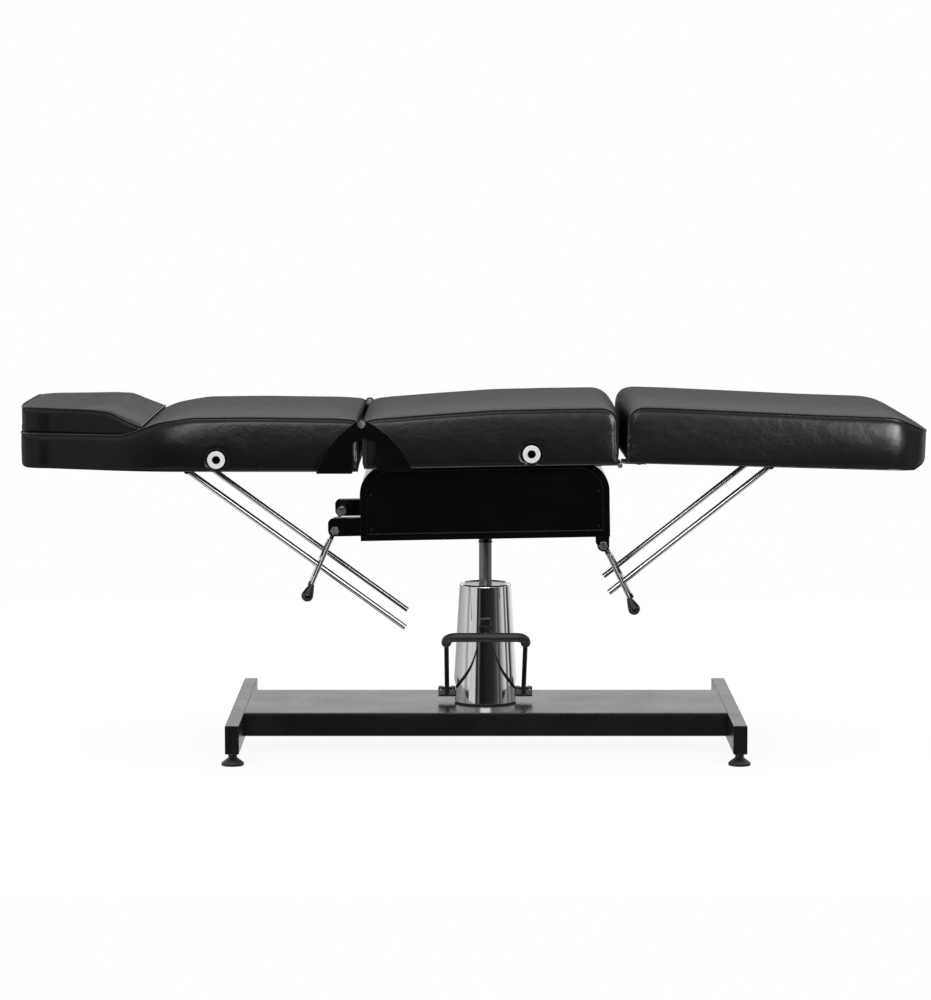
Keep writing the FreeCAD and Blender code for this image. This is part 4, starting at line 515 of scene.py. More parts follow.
def cushion_band(loop, over, rows, width, lift, crown_shape):
    """The skin round a cushion, one row of points for each point of its loop.

    A point is the loop's point, at row share times half width, moved out along the loop's normal by lift
    times the crown's shape, plus a roll of 1 - exp(-distance / reach) beside each welt. The underside is
    drawn up inside a flat hem, where the board sits.
    """
    ahead = np.roll(loop, -1, axis=0) - np.roll(loop, 1, axis=0)
    normal = unit(np.c_[-ahead[:, 1], ahead[:, 0]])
    distance = (1 - np.abs(rows)) * width[:, None]
    roll = np.where(lift[:, None] > 0, TOP_ROLL * (1 - np.exp(-distance / TOP_ROLL_REACH)), 0.0)
    out = lift[:, None] * crown_shape(rows) + roll
    x = loop[:, :1] + normal[:, :1] * out
    z = loop[:, 1:] + normal[:, 1:] * out
    to_end = np.minimum(loop[:, 0] - loop[:, 0].min(), loop[:, 0].max() - loop[:, 0])
    inside = np.clip((distance - HEM) / HEM_SLOPE, 0, 1)
    inside *= np.clip((to_end - END_HEM) / HEM_SLOPE, 0, 1)[:, None]
    under = (np.arange(len(loop)) >= over)[:, None]
    return np.stack([x, rows * width[:, None], z + under * BOARD_DEPTH * inside], axis=-1)

# %% The side panels
RING_SHARES = (0.03, 0.075, 0.14, 0.22, 0.33, 0.46, 0.60, 0.73, 0.87, 1.0)    # of the way to the middle line
SIDE_ROLL, SIDE_ROLL_REACH = 1.0, 6.0                # rise of the panel beside the welt, and how soon
GROOVE, GROOVE_AT, GROOVE_WIDTH = 2.2, 3.5, 2.8      # pull of the stitches, its place and its half width


def side_rings(loop, middle, half, side, side_swell):
    """Rings of points that fill a side panel, from near the welt to its middle line.

    A ring is loop times (1 - f) plus the middle line times f. It stands out by the panel's swell times
    1 - (1 - f)^2, plus a roll beside the welt, minus a bell-shaped groove where the stitches pull it in.
    """
    target_x = np.clip(loop[:, 0], middle[0, 0], middle[-1, 0])
    target = np.c_[target_x, np.interp(target_x, middle[:, 0], middle[:, 1])]
    rings = []
    for f in RING_SHARES:
        ring = loop * (1 - f) + target * f
        depth = np.linalg.norm(ring - loop, axis=1)
        out = side_swell(ring[:, 0]) * (1 - (1 - f) ** 2)
        out += SIDE_ROLL * (1 - np.exp(-depth / SIDE_ROLL_REACH))
        out -= GROOVE * np.exp(-((depth - GROOVE_AT) / GROOVE_WIDTH) ** 2)
        rings.append(np.c_[ring[:, 0], side * (half(ring[:, 0]) + out), ring[:, 1]])
    return np.vstack(rings)

# %% Band and panels as one closed skin
def flat_crown(t):
    """Crown of a top panel at row share t: 1 - |t|^3, flat in the middle."""
    return 1 - np.abs(t) ** 3


def full_crown(t):
    """Crown of the head wedge at row share t: 1 - t^4, full nearly to the welts."""
    return 1 - t ** 4


def even_swell(x):
    """A side panel that stands out alike all along."""
    return np.full(np.shape(x), 2.5)


def make_skin(top, bottom_z, half, crown, crown_shape=flat_crown, cross_at=(), step=STEP,
              side_swell=even_swell):
    """A cushion's closed skin, kept with the numbers of the rows that its seams follow."""
    loop, over, middle = cushion_loop(top, bottom_z, step)
    rows = band_rows(step)
    around, wide = len(loop), len(rows)
    on_top = np.arange(around) < over
    lift = np.where(on_top, crown(loop[:, 0], loop[:, 1]), 0.0)
    band = cushion_band(loop, over, rows, half(loop[:, 0]), lift, crown_shape)
    numbers = np.arange(around * wide).reshape(around, wide)
    vertices = [band.reshape(-1, 3)]
    faces = [quads(np.vstack([numbers, numbers[:1]]))]
    base = numbers.size
    for side, welt in ((-1, numbers[:, 0]), (1, numbers[:, -1])):
        vertices.append(side_rings(loop, middle, half, side, side_swell))
        rings = np.vstack([welt, base + np.arange(len(vertices[-1])).reshape(-1, around)])
        panel = quads(np.c_[rings, rings[:, :1]])
        faces.append(panel if side < 0 else panel[:, [0, 3, 2, 1]])
        base += len(vertices[-1])
    crossings = [int(np.argmin(np.hypot(*(loop[:over] - spot).T))) for spot in cross_at]
    return SimpleNamespace(vertices=np.vstack(vertices), faces=np.vstack(faces), loop=loop, over=over,
                           numbers=numbers, half=half, crossings=crossings)


def welt_line(skin, side, first=0, last=None):
    """Point numbers along the welt of one side, from one place of the loop to another."""
    return skin.numbers[first:skin.over if last is None else last, 0 if side < 0 else -1].tolist()


def cross_line(skin, place):
    """Point numbers straight across a cushion at one place of its loop."""
    return skin.numbers[place].tolist()

# %% [markdown]
# Foam that presses on the skin
#
# Foam pushes the vinyl out between the seams, which stay where they are sewn. The bulge can come from a
# formula or from cloth under pressure. The crown of every cushion is a formula. The head wedge is then
# settled by a short cloth simulation, which evens out its small skin, and no point moves further than a cap.
# The three large cushions keep the shape that the formulas give. Some of their points lie on each other at
# the ends of the middle lines, and Blender's cloth doesn't move a mesh that has edges without length.

# %% Swell the skin between its seams
SKIN_CLOTH = {
    "vertex_group_mass": "held", "use_pressure": True, "mass": 0.35, "quality": 5, "tension_stiffness": 40,
    "compression_stiffness": 40, "shear_stiffness": 20, "bending_stiffness": 4}


def swell(thing, held, pressure=1.6, cap=3.0 * MM, frames=16):
    """Let cloth under pressure shape the skin between its held points.

    A point that moved by a length m is brought back to cap times tanh(m / cap).
    """
    scene = bpy.context.scene
    before = points_of(thing.data)
    thing.vertex_groups.new(name="held").add(held, 1.0, "REPLACE")
    cloth = thing.modifiers.new("skin", "CLOTH")
    for setting, value in SKIN_CLOTH.items():
        setattr(cloth.settings, setting, value)
    cloth.settings.uniform_pressure_force = pressure
    cloth.settings.effector_weights.gravity = 0
    cloth.collision_settings.use_collision = False
    cloth.collision_settings.use_self_collision = False
    cloth.point_cache.frame_start = 1
    cloth.point_cache.frame_end = frames
    for number in range(1, frames + 1):
        scene.frame_set(number)
    settled = thing.evaluated_get(bpy.context.evaluated_depsgraph_get())
    move = points_of(settled.to_mesh()) - before
    settled.to_mesh_clear()
    thing.modifiers.remove(cloth)
    scene.frame_set(1)
    length = np.linalg.norm(move, axis=1)
    move *= (cap * np.tanh(length / cap) / np.maximum(length, 1e-9))[:, None]
    set_points(thing.data, before + move)
    print(thing.name, "swelled by at most", round(float(length.max()) / MM, 1), "mm before the cap")

# %% [markdown]
# Puckers and sockets
#
# Where a seam is sewn, the thread draws the vinyl into small folds that fade within a couple of centimetres.
# Round each armrest socket the skin is pressed in and cut open. Folds could be sculpted. A wave along the
# seam that dies away from it was chosen, because it follows any seam and is never the same twice.

# %% Puckers beside the seams
PUCKER_HEIGHT, PUCKER_REACH, PUCKER_WAVE = 0.9, 16.0, 15.0
SEAM_PHASE = 1.7            # shifts the wave from seam to seam, so that no two seams fold alike
SEAM_FLAT = 3.0             # the skin stays flat this close to a seam
SIDE_ZONE = 6.0             # a point this near to the full half width belongs to a side panel
SIDE_PUCKER_SHARE = 0.7
POINTS_AT_ONCE = 4000       # how many points are measured against a seam at a time, to spare memory


def pucker(skin, points, seams):
    """Move the skin near each seam by height times exp(-(d / half the reach)^2) times an uneven wave.

    Here d is the distance to the seam, and the wave dies away just beside it. The top moves up and down, and
    the side panels in and out.
    """
    moved = points.copy()
    for number, seam in enumerate(seams):
        line = points[seam]
        lengths = lengths_along(line)
        low, high = line.min(0) - PUCKER_REACH, line.max(0) + PUCKER_REACH
        near = np.where(np.all((points >= low) & (points <= high), axis=1))[0]
        for chunk in np.array_split(near, max(1, len(near) // POINTS_AT_ONCE)):
            gap = np.linalg.norm(points[chunk][:, None] - line[None], axis=2)
            best = gap.argmin(1)
            d = gap[np.arange(len(chunk)), best]
            fade = np.exp(-(d / (PUCKER_REACH * 0.5)) ** 2) * np.clip(d / SEAM_FLAT, 0, 1)
            rise = PUCKER_HEIGHT * fade * drift(lengths[best], PUCKER_WAVE, number * SEAM_PHASE)
            x, y = points[chunk][:, 0], points[chunk][:, 1]
            on_side = np.abs(np.abs(y) - skin.half(x)) < SIDE_ZONE
            moved[chunk, 1] += np.where(on_side, np.sign(y) * rise * SIDE_PUCKER_SHARE, 0.0)
            moved[chunk, 2] += np.where(on_side, 0.0, rise)
    return moved

# %% The dent and the hole behind a socket ring
SIDE_FROM = 270.0                        # points further out than this are on a side panel
DENT_RADIUS, DENT_DEPTH = 22.0, 3.0
HOLE_RADIUS, HOLE_DEPTH = 13.5, 60.0


def open_socket(points, x, z):
    """Sink the skin under a socket ring, in two steps, and push a deep hole in its middle."""
    moved = points.copy()
    r = np.hypot(points[:, 0] - x, points[:, 2] - z)
    dent = np.where(r < DENT_RADIUS, DENT_DEPTH * (1 + np.clip((DENT_RADIUS - 3 - r) / 3, 0, 1)), 0)
    dent *= np.clip((DENT_RADIUS + 2 - r) / 4, 0, 1)
    hole = np.clip((HOLE_RADIUS - r) / 3.0, 0, 1) * HOLE_DEPTH
    on_side = np.abs(points[:, 1]) > SIDE_FROM
    moved[:, 1] -= np.where(on_side, np.sign(points[:, 1]) * (dent + hole), 0.0)
    return moved

# %% [markdown]
# Welts and stitches
#
# A welt is a thin cord wrapped in vinyl and sewn into the seam, and a row of stitches runs just below it.
# Both could be painted, but they catch light of their own. The welt is a tube along the seam, and each
# stitch is a short tube laid on the skin, placed by asking the finished mesh for its nearest point.

# %% Welts along the seams
WELT_RADIUS, WELT_STEP = 1.5, 4.0
WELT_OUT, WELT_UP = 0.3, 0.2


def lay_welts(name, body, local, seams, place):
    """A tube along each seam, set a little out and up from the skin."""
    tubes = []
    for seam in seams:
        line = resample(local[seam], WELT_STEP)
        line += np.c_[np.zeros(len(line)), np.sign(line[:, 1]) * WELT_OUT, np.full(len(line), WELT_UP)]
        tubes.append(tube(place(line), WELT_RADIUS * MM))
    make_object(name + "_welts", *join_tubes(tubes), vinyl_welt, body)

# %% Stitches beside the welts
STITCH_PITCH, STITCH_LENGTH, STITCH_INSET = 4.9, 3.1, 3.4
POINTS_PER_STITCH = 4
THREAD_RADIUS, THREAD_RISE = 0.38, 0.15
SHORTEST_STITCH = 1.0
SEARCH_OUT = 2.0            # the nearest skin is looked for from this far outside
LENGTHWISE_SHARE = 0.02     # how much the way to the middle counts along the cushion, against upwards


def on_skin(tree, spot, side):
    """The point of the skin nearest to a spot, raised towards its side by half a thread."""
    near, normal, _, _ = tree.find_nearest(Vector(spot))
    return np.array(near + normal * THREAD_RISE * MM * np.sign(normal.y * side))


def lay_stitches(name, thing, body, local, seams, place, material, skin):
    """A row of short stitches just below each seam, on the side panel."""
    mesh = thing.data
    tree = BVHTree.FromPolygons([v.co for v in mesh.vertices], [tuple(p.vertices) for p in mesh.polygons])
    middle_z = (skin.loop[:, 1].min() + skin.loop[:, 1].max()) / 2
    middle_x = skin.loop[:, 0].mean()
    share = STITCH_LENGTH / STITCH_PITCH
    stitches = []
    for seam in seams:
        line = resample(local[seam], STITCH_PITCH / POINTS_PER_STITCH)
        side = np.sign(line[:, 1])
        ahead = unit(np.gradient(line, axis=0))
        inward = np.c_[ahead[:, 2], np.zeros(len(line)), -ahead[:, 0]]
        to_middle = (inward[:, 2] * (middle_z - line[:, 2])
                     + inward[:, 0] * (middle_x - line[:, 0]) * LENGTHWISE_SHARE)
        path = line + inward * np.where(to_middle < 0, -1, 1)[:, None] * STITCH_INSET
        path[:, 1] = line[:, 1] + side * SEARCH_OUT
        start = np.arange(2, len(path) - 5, POINTS_PER_STITCH)
        starts = place(path[start])
        ends = place(path[start + 3] * share + path[start] * (1 - share))
        for number, a, b in zip(start, starts, ends):
            a, b = on_skin(tree, a, side[number]), on_skin(tree, b, side[number])
            if np.linalg.norm(b - a) > SHORTEST_STITCH * MM:
                stitches.append(tube(np.array([a, (a + b) / 2, b]), THREAD_RADIUS * MM, 5))
    make_object(name + "_stitches", *join_tubes(stitches), material, body)
    print(name, "has", len(stitches), "stitches")

# %% [markdown]
# One cushion from skin to stitches
#
# All four cushions go through the same steps, as on a maker's bench: sew the skin, press in the seams and
# sockets, then add the welts and stitches. They could be made one by one. One function does it for all, and
# each cushion below gives only its own outline, width and crown, and whether cloth settles it.

# %% Make, settle, pucker and finish a cushion
MERGE_DISTANCE = 0.2


def merge_close(mesh):
    """Join points that lie on each other along the middle lines, and turn all faces outwards."""
    work = bmesh.new()
    work.from_mesh(mesh)
    bmesh.ops.remove_doubles(work, verts=work.verts, dist=MERGE_DISTANCE * MM)
    bmesh.ops.recalc_face_normals(work, faces=work.faces)
    work.to_mesh(mesh)
    work.free()
    mesh.polygons.foreach_set("use_smooth", [True] * len(mesh.polygons))
    mesh.update()


def cushion_piece(name, body, node, skin, place, seams, sockets=(), settled=False, stitch=None):
    """One finished cushion with its welts, settled as cloth if asked, and stitched where a thread is given.

    What the cloth moved is added to the level skin as it is, and a cushion that isn't settled has no move.
    """
    thing = make_object(name, place(skin.vertices), skin.faces.tolist(), vinyl, body)
    if settled:
        below = skin.numbers[skin.over:].ravel().tolist()
        swell(thing, sorted({i for seam in seams for i in seam} | set(below)))
    local = skin.vertices + (points_of(thing.data) - place(skin.vertices)) / MM
    local = pucker(skin, local, seams)
    for x, z in sockets:
        local = open_socket(local, x, z)
    set_points(thing.data, place(local))
    merge_close(thing.data)
    smooth = thing.modifiers.new("smooth", "SUBSURF")
    smooth.levels = 1
    smooth.render_levels = 1
    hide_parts(node)
    lay_welts(name, body, local, seams, place)
    if stitch:
        lay_stitches(name, thing, body, local, seams, place, stitch, skin)
    size = (local.max(0) - local.min(0)).round()
    print(name, "is", *size.astype(int), "mm, with", len(thing.data.polygons), "faces")

# %% [markdown]
# Seat cushion
#
# The seat is the plainest cushion: straight sides, a top that rises towards the foot side, tight rounds at
# both ends and a grey thread below its welts. A spline drawn by eye could follow its side. A list of corners
# was chosen, because each round can then be read off: x and z in millimetres and the radius, from the head
# side over the top to the foot side. The crown is how far the foam lifts the skin.

# %% Seat outline, crown and piece
HALF_WIDTH = 287.0
SEAT_BOTTOM = 612.0
SOCKET_RISE = 24.5          # a socket's middle above the underside of its cushion
SEAT_SOCKET_X = 95.3
seat_top = rounded([
    (-243, SEAT_BOTTOM, 0), (-246.5, 622, 8), (-247, 707, 13), (-225, 713.2, 60), (-108, 720.3, 300),
    (20, 726.9, 500), (130, 727.5, 400), (269.5, 726.8, 36), (270.5, 640, 0), (268.5, SEAT_BOTTOM, 0)])


def seat_half(x):
    """Half width of the seat, the same all along."""
    return np.full(np.shape(x), HALF_WIDTH)


def seat_crown(x, z):
    """Lift of the seat's skin: 9 mm on top, down to 1.5 mm at the head end and 6.5 mm at the foot end."""
    return np.select([z < 622, x > 225, x < -232],
                     [0.0, 6.5 + 2.5 * np.clip((270 - x) / 27, 0, 1), 1.5],
                     9.0 * np.clip((x + 247) / 45, 0.25, 1))


seat = make_skin(seat_top, SEAT_BOTTOM, seat_half, seat_crown)
cushion_piece("seat_pad", "seat", "seat_cushion", seat, seat_place, [welt_line(seat, -1), welt_line(seat, 1)],
              sockets=[(SEAT_SOCKET_X, SEAT_BOTTOM + SOCKET_RISE)], stitch=thread)

# %% [markdown]
# Back cushion
#
# The back steps down in a shoulder to a lower head part and narrows towards it, and its welts start at the
# upper edge of the head end. It could be cut out of a wide cushion. Its own width was chosen instead: a
# straight taper in plan with an eased bend, and round head corners, so that every row follows the edge. The
# side panels stand out most at the shoulder, where the foam is squeezed.

# %% Back outline, width, crown and piece
BACK_BOTTOM = 602.0
BACK_SOCKET_X = -547.8
HEAD_LEVEL = 672.0                              # height of the head part's top
TAPER_FROM, TAPER_EASE, TAPER = 690.0, 80.0, 77.0 / 210.0
HEAD_CORNER_FROM, HEAD_CORNER = 900.0, 60.0     # where the corner's round begins, and its radius
back_top = rounded([
    (-943, BACK_BOTTOM, 0), (-959, 604, 13), (-960, HEAD_LEVEL, 0), (-900, 672.2, 0), (-735, 674.5, 120),
    (-668, 700.5, 90), (-600, 711.5, 160), (-480, 712.8, 600), (-304, 710.6, 400), (-262.5, 707.2, 7),
    (-258.8, 620, 12), (-262, BACK_BOTTOM, 0)])


def back_half(x):
    """Half width of the back.

    It is full up to the taper, drops by the taper times the way past it, with a parabola where the bend is
    eased, and ends in a round: radius minus the root of (radius^2 - way past the corner^2).
    """
    reach = -x
    past = reach - TAPER_FROM
    drop = np.select([past <= -TAPER_EASE, past < TAPER_EASE],
                     [0.0, TAPER * (past + TAPER_EASE) ** 2 / (4 * TAPER_EASE)],
                     TAPER * (np.minimum(reach, HEAD_CORNER_FROM) - TAPER_FROM))
    round_x = np.maximum(reach - HEAD_CORNER_FROM, 0)
    corner = HEAD_CORNER - np.sqrt(np.maximum(HEAD_CORNER ** 2 - round_x ** 2, 0))
    return HALF_WIDTH - drop - corner


def back_crown(x, z):
    """Lift of the back's skin: 8.5 mm on top, 0.5 mm at the hinge, and 1 mm on the head part."""
    return np.select([z < 630, x > -262, x < -640],
                     [0.0, 0.5, 1.0 + 7.0 * np.clip((x + 735) / 95, 0, 1)],
                     8.5 * np.clip((-258 - x) / 60, 0.15, 1))


def shoulder_swell(x):
    """Swell of the back's side panels: 2.5 mm, and a bell of 4.5 mm more at the shoulder."""
    return 2.5 + 4.5 * np.exp(-((x + 640) / 90) ** 2)


back = make_skin(back_top, BACK_BOTTOM, back_half, back_crown, cross_at=[(-960, HEAD_LEVEL)],
                 side_swell=shoulder_swell)
head_row = back.crossings[0]
cushion_piece("back_pad", "back", "back_cushion", back, back_place,
              [welt_line(back, -1, head_row), welt_line(back, 1, head_row), cross_line(back, head_row)],
              sockets=[(BACK_SOCKET_X, BACK_BOTTOM + SOCKET_RISE)])

# %% [markdown]
# Leg cushion
#
# The leg section is drawn from its hinge. Its top slopes gently to the foot, breaks at a cross welt and falls
# to a blunt end with large round corners. The foot end could be a piece of its own, but one skin keeps the
# welt closed. A black thread is used here, which barely shows.

# %% Leg outline, width, crown and piece
LEG_BOTTOM = 6.0
FOOT_CORNER_FROM, FOOT_CORNER = 543.0, 85.0     # where the corner's round begins, and its radius
FOOT_EDGE = (626.5, 84.5)                       # the cross welt
leg_top = rounded([
    (15, LEG_BOTTOM, 0), (13.5, 9, 2), (13.5, 120.2, 36), (115, 119.8, 600), (400, 114.3, 800),
    (556, 113.2, 110), (*FOOT_EDGE, 0), (628, 22, 30), (600, LEG_BOTTOM, 0)])


def leg_half(x):
    """Half width of the leg section: full, then a round of the corner's radius."""
    round_x = np.maximum(x - FOOT_CORNER_FROM, 0)
    return HALF_WIDTH - FOOT_CORNER + np.sqrt(np.maximum(FOOT_CORNER ** 2 - round_x ** 2, 0))


def leg_crown(x, z):
    """Lift of the leg's skin: 9.5 mm, less where it meets the seat and towards the cross welt."""
    return np.select([z < 14, x < 50, x > 560],
                     [0.0, 6.0 + 3.5 * np.clip((x - 14) / 36, 0, 1),
                      2.0 + 8.0 * np.clip((626 - x) / 66, 0, 1)],
                     9.5)


def leg_swell(x):
    """Swell of the leg's side panels: 2.5 mm, growing by 3 mm towards the foot."""
    return 2.5 + 3.0 * np.clip((x - 330) / 150, 0, 1)


leg = make_skin(leg_top, LEG_BOTTOM, leg_half, leg_crown, cross_at=[FOOT_EDGE], side_swell=leg_swell)
foot_row = leg.crossings[0]
cushion_piece("leg_pad", "leg", "leg_cushion", leg, leg_place,
              [welt_line(leg, -1, 0, foot_row + 1), welt_line(leg, 1, 0, foot_row + 1),
               cross_line(leg, foot_row)], stitch=dark_thread)

# %% [markdown]
# Head wedge
#
# A loose pillow lies on the low head part and fills the step, so that the head rests a little above the
# back. It follows the back's plan with a small gap, and its slanting front ends in a low lip. It could share
# the spacing of the others. Finer rows were chosen, because it is the smallest and bends the most.

# %% Wedge outline, crown and piece
WEDGE_GAP = 3.0             # how much narrower than the back on each side
WEDGE_SHIFT = 2.0
WEDGE_BACK, WEDGE_FRONT = (-957, 725.5), (-700, 692.0)    # upper edges of its ends, with cross welts
wedge_top = rounded([
    (-950, HEAD_LEVEL, 0), (-957, 674, 4), (*WEDGE_BACK, 0), (-930, 726.0, 0), (-800, 724.5, 60),
    (-765, 721.0, 60), (-730, 704.0, 40), (*WEDGE_FRONT, 0), (-700, 675, 0), (-706, HEAD_LEVEL, 0)])


def wedge_half(x):
    """Half width of the wedge: the back's, less a small gap."""
    return back_half(x - WEDGE_SHIFT) - WEDGE_GAP


def wedge_crown(x, z):
    """Lift of the wedge's skin: 6 mm at its ends, and on top 2 mm growing by 9 mm towards the slope."""
    return np.where(z > 691, 2.0 + 9.0 * np.clip((x + 850) / 110, 0, 1), 6.0)


wedge = make_skin(wedge_top, HEAD_LEVEL, wedge_half, wedge_crown, full_crown,
                  cross_at=[WEDGE_BACK, WEDGE_FRONT], step=5.0)
back_row, front_row = wedge.crossings
cushion_piece("head_wedge", "back", "pillow", wedge, back_place,
              [welt_line(wedge, -1, back_row, front_row + 1), welt_line(wedge, 1, back_row, front_row + 1),
               cross_line(wedge, back_row), cross_line(wedge, front_row)], settled=True)

# %% [markdown]
# Floor
#
# A catalogue picture stands on white paper that shows nothing but the faint shadow of the object. Paper lit
# to white by lamps would also light the object from below. Here it glows by itself, with a small part of
# plain matt white mixed in that takes the shadow, and neither reflections nor bounced light see it.

# %% White paper under the bed
FLOOR_CORNERS = [(-2.6, -1.5, 0), (2.6, -1.5, 0), (2.6, 2.2, 0), (-2.6, 2.2, 0)]
SHADOW_SHARE = 0.07         # share of matt white, which sets how dark the shadow is
floor_mesh = bpy.data.meshes.new("floor")
floor_mesh.from_pydata(FLOOR_CORNERS, [], [(0, 1, 2, 3)])
floor = bpy.data.objects.new("floor", floor_mesh)
bpy.context.scene.collection.objects.link(floor)
# Coated paper, rolled out. It is an even white without gloss.
paper = bpy.data.materials.new("white paper")
paper.use_nodes = True
sheet = paper.node_tree
sheet.nodes.clear()
glow = add_node(sheet, "ShaderNodeEmission", {"Color": 1.0, "Strength": 1.0})
matt = add_node(sheet, "ShaderNodeBsdfDiffuse", {"Color": 0.9})
mixed = add_node(sheet, "ShaderNodeMixShader", {0: SHADOW_SHARE, 1: glow.outputs[0], 2: matt.outputs[0]})
add_node(sheet, "ShaderNodeOutputMaterial", {"Surface": mixed.outputs[0]})
floor_mesh.materials.append(paper)
floor.visible_glossy = False
floor.visible_diffuse = False
print("floor:", floor_mesh.name, "with", paper.name)

# %% [markdown]
# Surroundings
#
# Chrome shows the room round it. In a studio that room is a ring of light and dark flats, with a large soft
# light above. Real cards could be set up as planes. Painting the ring into the world by its bearing was
# chosen, because the stops of one ramp then place every bright and dark stripe of the cover. The camera
# itself sees plain white, which the Light Path node tells apart.

# %% Light and dark flats by bearing
world = bpy.data.worlds.new("studio")
bpy.context.scene.world = world
world.use_nodes = True
studio = world.node_tree
studio.nodes.clear()
# Bearings of the flats in degrees, from straight in front of the bed, and how bright each is.
FLATS = [
    (-180, 0.75), (-150, 0.42), (-104, 0.62), (-86, 0.80), (-76, 0.35), (-66, 0.85), (-52, 0.72), (-39, 0.80),
    (-35, 0.03), (-29, 0.02), (-26, 0.18), (-22, 0.05), (-18, 0.008), (8, 0.02), (30, 0.03), (42, 0.07),
    (48, 0.2), (52, 0.04), (57, 0.13), (71, 0.60), (81, 0.90), (86, 0.13), (92, 0.17), (98, 0.93),
    (104, 0.06), (111, 0.02), (119, 0.48), (127, 0.81), (150, 1.0), (180, 0.75)]
direction = add_node(studio, "ShaderNodeTexCoord").outputs["Generated"]
split = add_node(studio, "ShaderNodeSeparateXYZ", {"Vector": direction}).outputs
to_front = add_node(studio, "ShaderNodeMath", {0: split["Y"], 1: -1.0}, operation="MULTIPLY").outputs[0]
bearing = add_node(studio, "ShaderNodeMath", {0: split["X"], 1: to_front}, operation="ARCTAN2").outputs[0]
around = add_node(studio, "ShaderNodeMapRange", {"Value": bearing, "From Min": -math.pi, "From Max": math.pi})
flats = add_node(studio, "ShaderNodeValToRGB", {"Fac": around.outputs["Result"]},
                 stops=[(degrees / 360.0 + 0.5, level) for degrees, level in FLATS]).outputs["Color"]
print("studio:", len(FLATS), "stops of light and dark round the bed")

# %% A dark band behind, a pale ground, and a soft light above
HORIZON_GREY, GROUND_GREY, FRONT_SKY = 0.05, 0.7, 1.2
BEHIND_FROM, BEHIND_FULL = 0.2, 0.6         # how far towards the back the band and the other sky set in
GROUND_FROM, GROUND_FULL = -0.55, -0.8      # how far down the ground sets in
SKY_FROM, SKY_FULL = 0.22, 0.27             # how far up the light above sets in
SKY_LEAN = 0.11                             # it comes lower behind the bed than in front
BAND = [(0.50, 0.0), (0.515, 1.0), (0.60, 1.0), (0.70, 0.0)]
BACK_SKY = [(0.08, 1.35), (0.26, 1.35), (0.40, 1.6), (0.60, 0.6), (0.92, 1.0)]
height = add_node(studio, "ShaderNodeMapRange", {"Value": split["Z"], "From Min": -1.0, "From Max": 1.0})
band = add_node(studio, "ShaderNodeValToRGB", {"Fac": height.outputs["Result"]}, stops=BAND).outputs["Color"]
behind = add_node(studio, "ShaderNodeMapRange",
                  {"Value": split["Y"], "From Min": BEHIND_FROM, "From Max": BEHIND_FULL})
horizon = add_node(studio, "ShaderNodeMath", {0: band, 1: behind.outputs["Result"]}, operation="MULTIPLY")
ground = add_node(studio, "ShaderNodeMapRange",
                  {"Value": split["Z"], "From Min": GROUND_FROM, "From Max": GROUND_FULL})
lean = add_node(studio, "ShaderNodeMath", {0: split["Y"], 1: SKY_LEAN, 2: split["Z"]},
                operation="MULTIPLY_ADD")
above = add_node(studio, "ShaderNodeMapRange",
                 {"Value": lean.outputs[0], "From Min": SKY_FROM, "From Max": SKY_FULL})
back_sky = add_node(studio, "ShaderNodeValToRGB", {"Fac": split["Z"]}, stops=BACK_SKY).outputs["Color"]
sky = add_node(studio, "ShaderNodeMix", {"Factor": behind.outputs["Result"], MIX_FIRST: FRONT_SKY,
                                         MIX_SECOND: back_sky}, data_type="RGBA").outputs[MIX_RESULT]
# Each layer is laid over the ones before it: the horizon, then the ground, then the sky.
room = flats
for layer, shade in ((horizon.outputs[0], HORIZON_GREY), (ground.outputs["Result"], GROUND_GREY),
                     (above.outputs["Result"], sky)):
    room = add_node(studio, "ShaderNodeMix", {"Factor": layer, MIX_FIRST: room, MIX_SECOND: shade},
                    data_type="RGBA").outputs[MIX_RESULT]
scenery = add_node(studio, "ShaderNodeBackground", {"Color": room, "Strength": 1.0})
plain = add_node(studio, "ShaderNodeBackground", {"Color": 1.0, "Strength": 1.0})
seen = add_node(studio, "ShaderNodeLightPath").outputs["Is Camera Ray"]
chosen = add_node(studio, "ShaderNodeMixShader", {0: seen, 1: scenery.outputs[0], 2: plain.outputs[0]})
add_node(studio, "ShaderNodeOutputWorld", {"Surface": chosen.outputs[0]})
print("studio:", len(studio.nodes), "nodes")

# %% [markdown]
# Lamps
#
# A broad light from above models the tops and gives the soft shadow, and a wide low one in front opens the
# dark sides. Black vinyl needs more to show its shape: two soft boxes that draw a sheen along the cushions.
# They could light everything, but would break the thin chrome rods into glitter, so light linking keeps them
# to the upholstery.

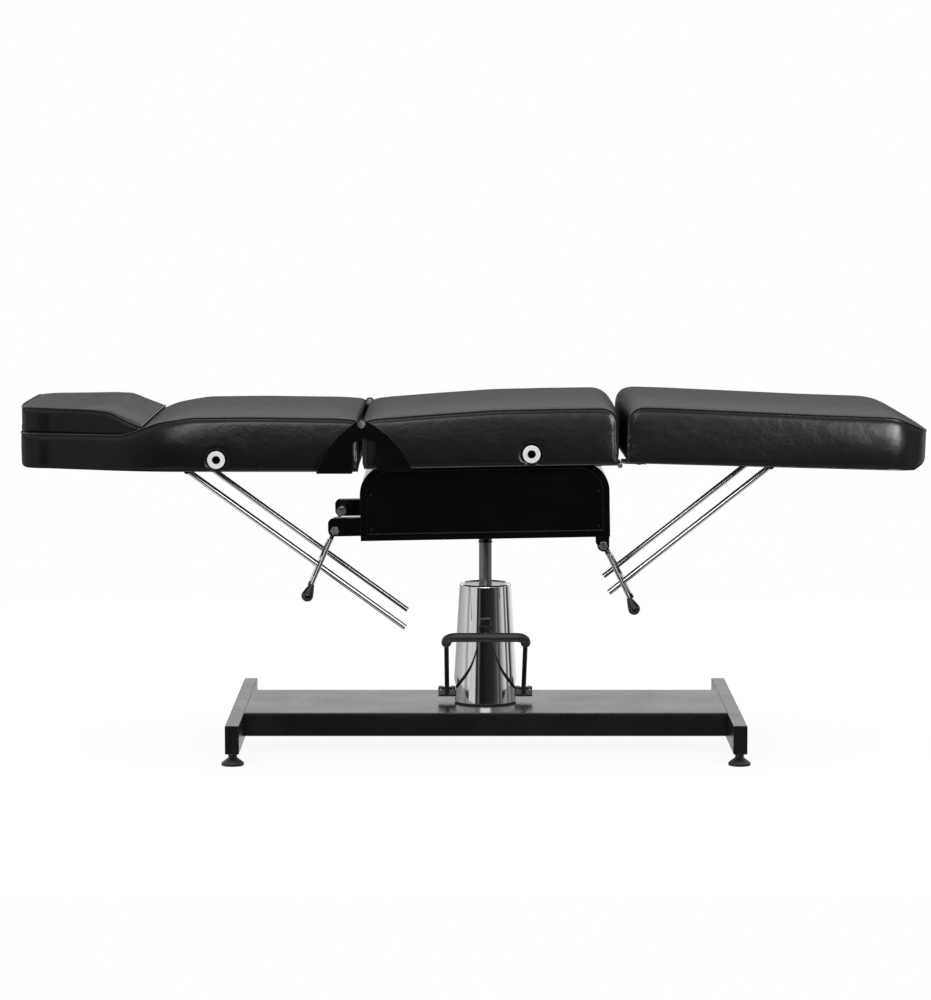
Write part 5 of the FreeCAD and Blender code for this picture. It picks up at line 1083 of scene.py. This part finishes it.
# %% Overhead, front fill and two boxes for the vinyl
def lamp(name, kind, power, place, aim, **settings):
    """A lamp at a place that points at another."""
    data = bpy.data.lights.new(name, kind)
    data.energy = power
    for setting, value in settings.items():
        setattr(data, setting, value)
    thing = bpy.data.objects.new(name, data)
    thing.location = place
    thing.rotation_euler = (Vector(aim) - Vector(place)).to_track_quat("-Z", "Y").to_euler()
    bpy.context.scene.collection.objects.link(thing)
    return thing


lamp("overhead", "SUN", 1.6, (0, 0.3, 4), (0, 0, 0), angle=math.radians(70))
lamp("front_fill", "AREA", 42, (0.0, -4.6, 1.75), (0, 0, 0.6), shape="RECTANGLE", size=3.0, size_y=1.2)
front_top = lamp("front_top", "AREA", 54, (-0.9, -4.2, 1.95), (-0.62, -0.30, 0.7),
                 shape="RECTANGLE", size=1.0, size_y=0.5)
right_box = lamp("right_box", "AREA", 175, (2.15, -3.0, 1.15), (0.93, -0.27, 0.68),
                 shape="RECTANGLE", size=1.2, size_y=0.8)
upholstery = bpy.data.collections.new("upholstery")
for piece in ("seat_pad", "back_pad", "leg_pad", "head_wedge"):
    upholstery.objects.link(bpy.data.objects[piece])
front_top.light_linking.receiver_collection = upholstery
right_box.light_linking.receiver_collection = upholstery
print("lamps:", ", ".join(sorted(light.name for light in bpy.data.lights)))

# %% [markdown]
# Camera
#
# The picture was taken from far in front with a long lens, a little above the bed and looking slightly down.
# A camera could be placed by eye. These values were fitted to the corners of the base, the cover, the frame
# and the cushions, because pieces then fall where the photograph has them. The lens follows from the focal
# length in pixels, as Blender lays its sensor along the longer side of the picture.

# %% A long lens seven metres away
FOCAL_PIXELS = 3344.74
PICTURE_HEIGHT_PIXELS = 1000.0
SENSOR = 36.0
CAMERA_RIGHT, CAMERA_BACK, CAMERA_HEIGHT = -0.04212, 7.0414, 1.25827
LOOK_DOWN = 6.0289          # degrees
camera = bpy.data.cameras.new("camera")
camera.sensor_width = SENSOR
camera.lens = FOCAL_PIXELS * SENSOR / PICTURE_HEIGHT_PIXELS
viewer = bpy.data.objects.new("camera", camera)
viewer.location = (COLUMN_X + CAMERA_RIGHT, -CAMERA_BACK, CAMERA_HEIGHT)
viewer.rotation_euler = (math.radians(90 - LOOK_DOWN), 0, 0)
bpy.context.scene.collection.objects.link(viewer)
bpy.context.scene.camera = viewer
bpy.context.scene.view_settings.view_transform = "Standard"
print("lens", round(camera.lens, 1), "mm")
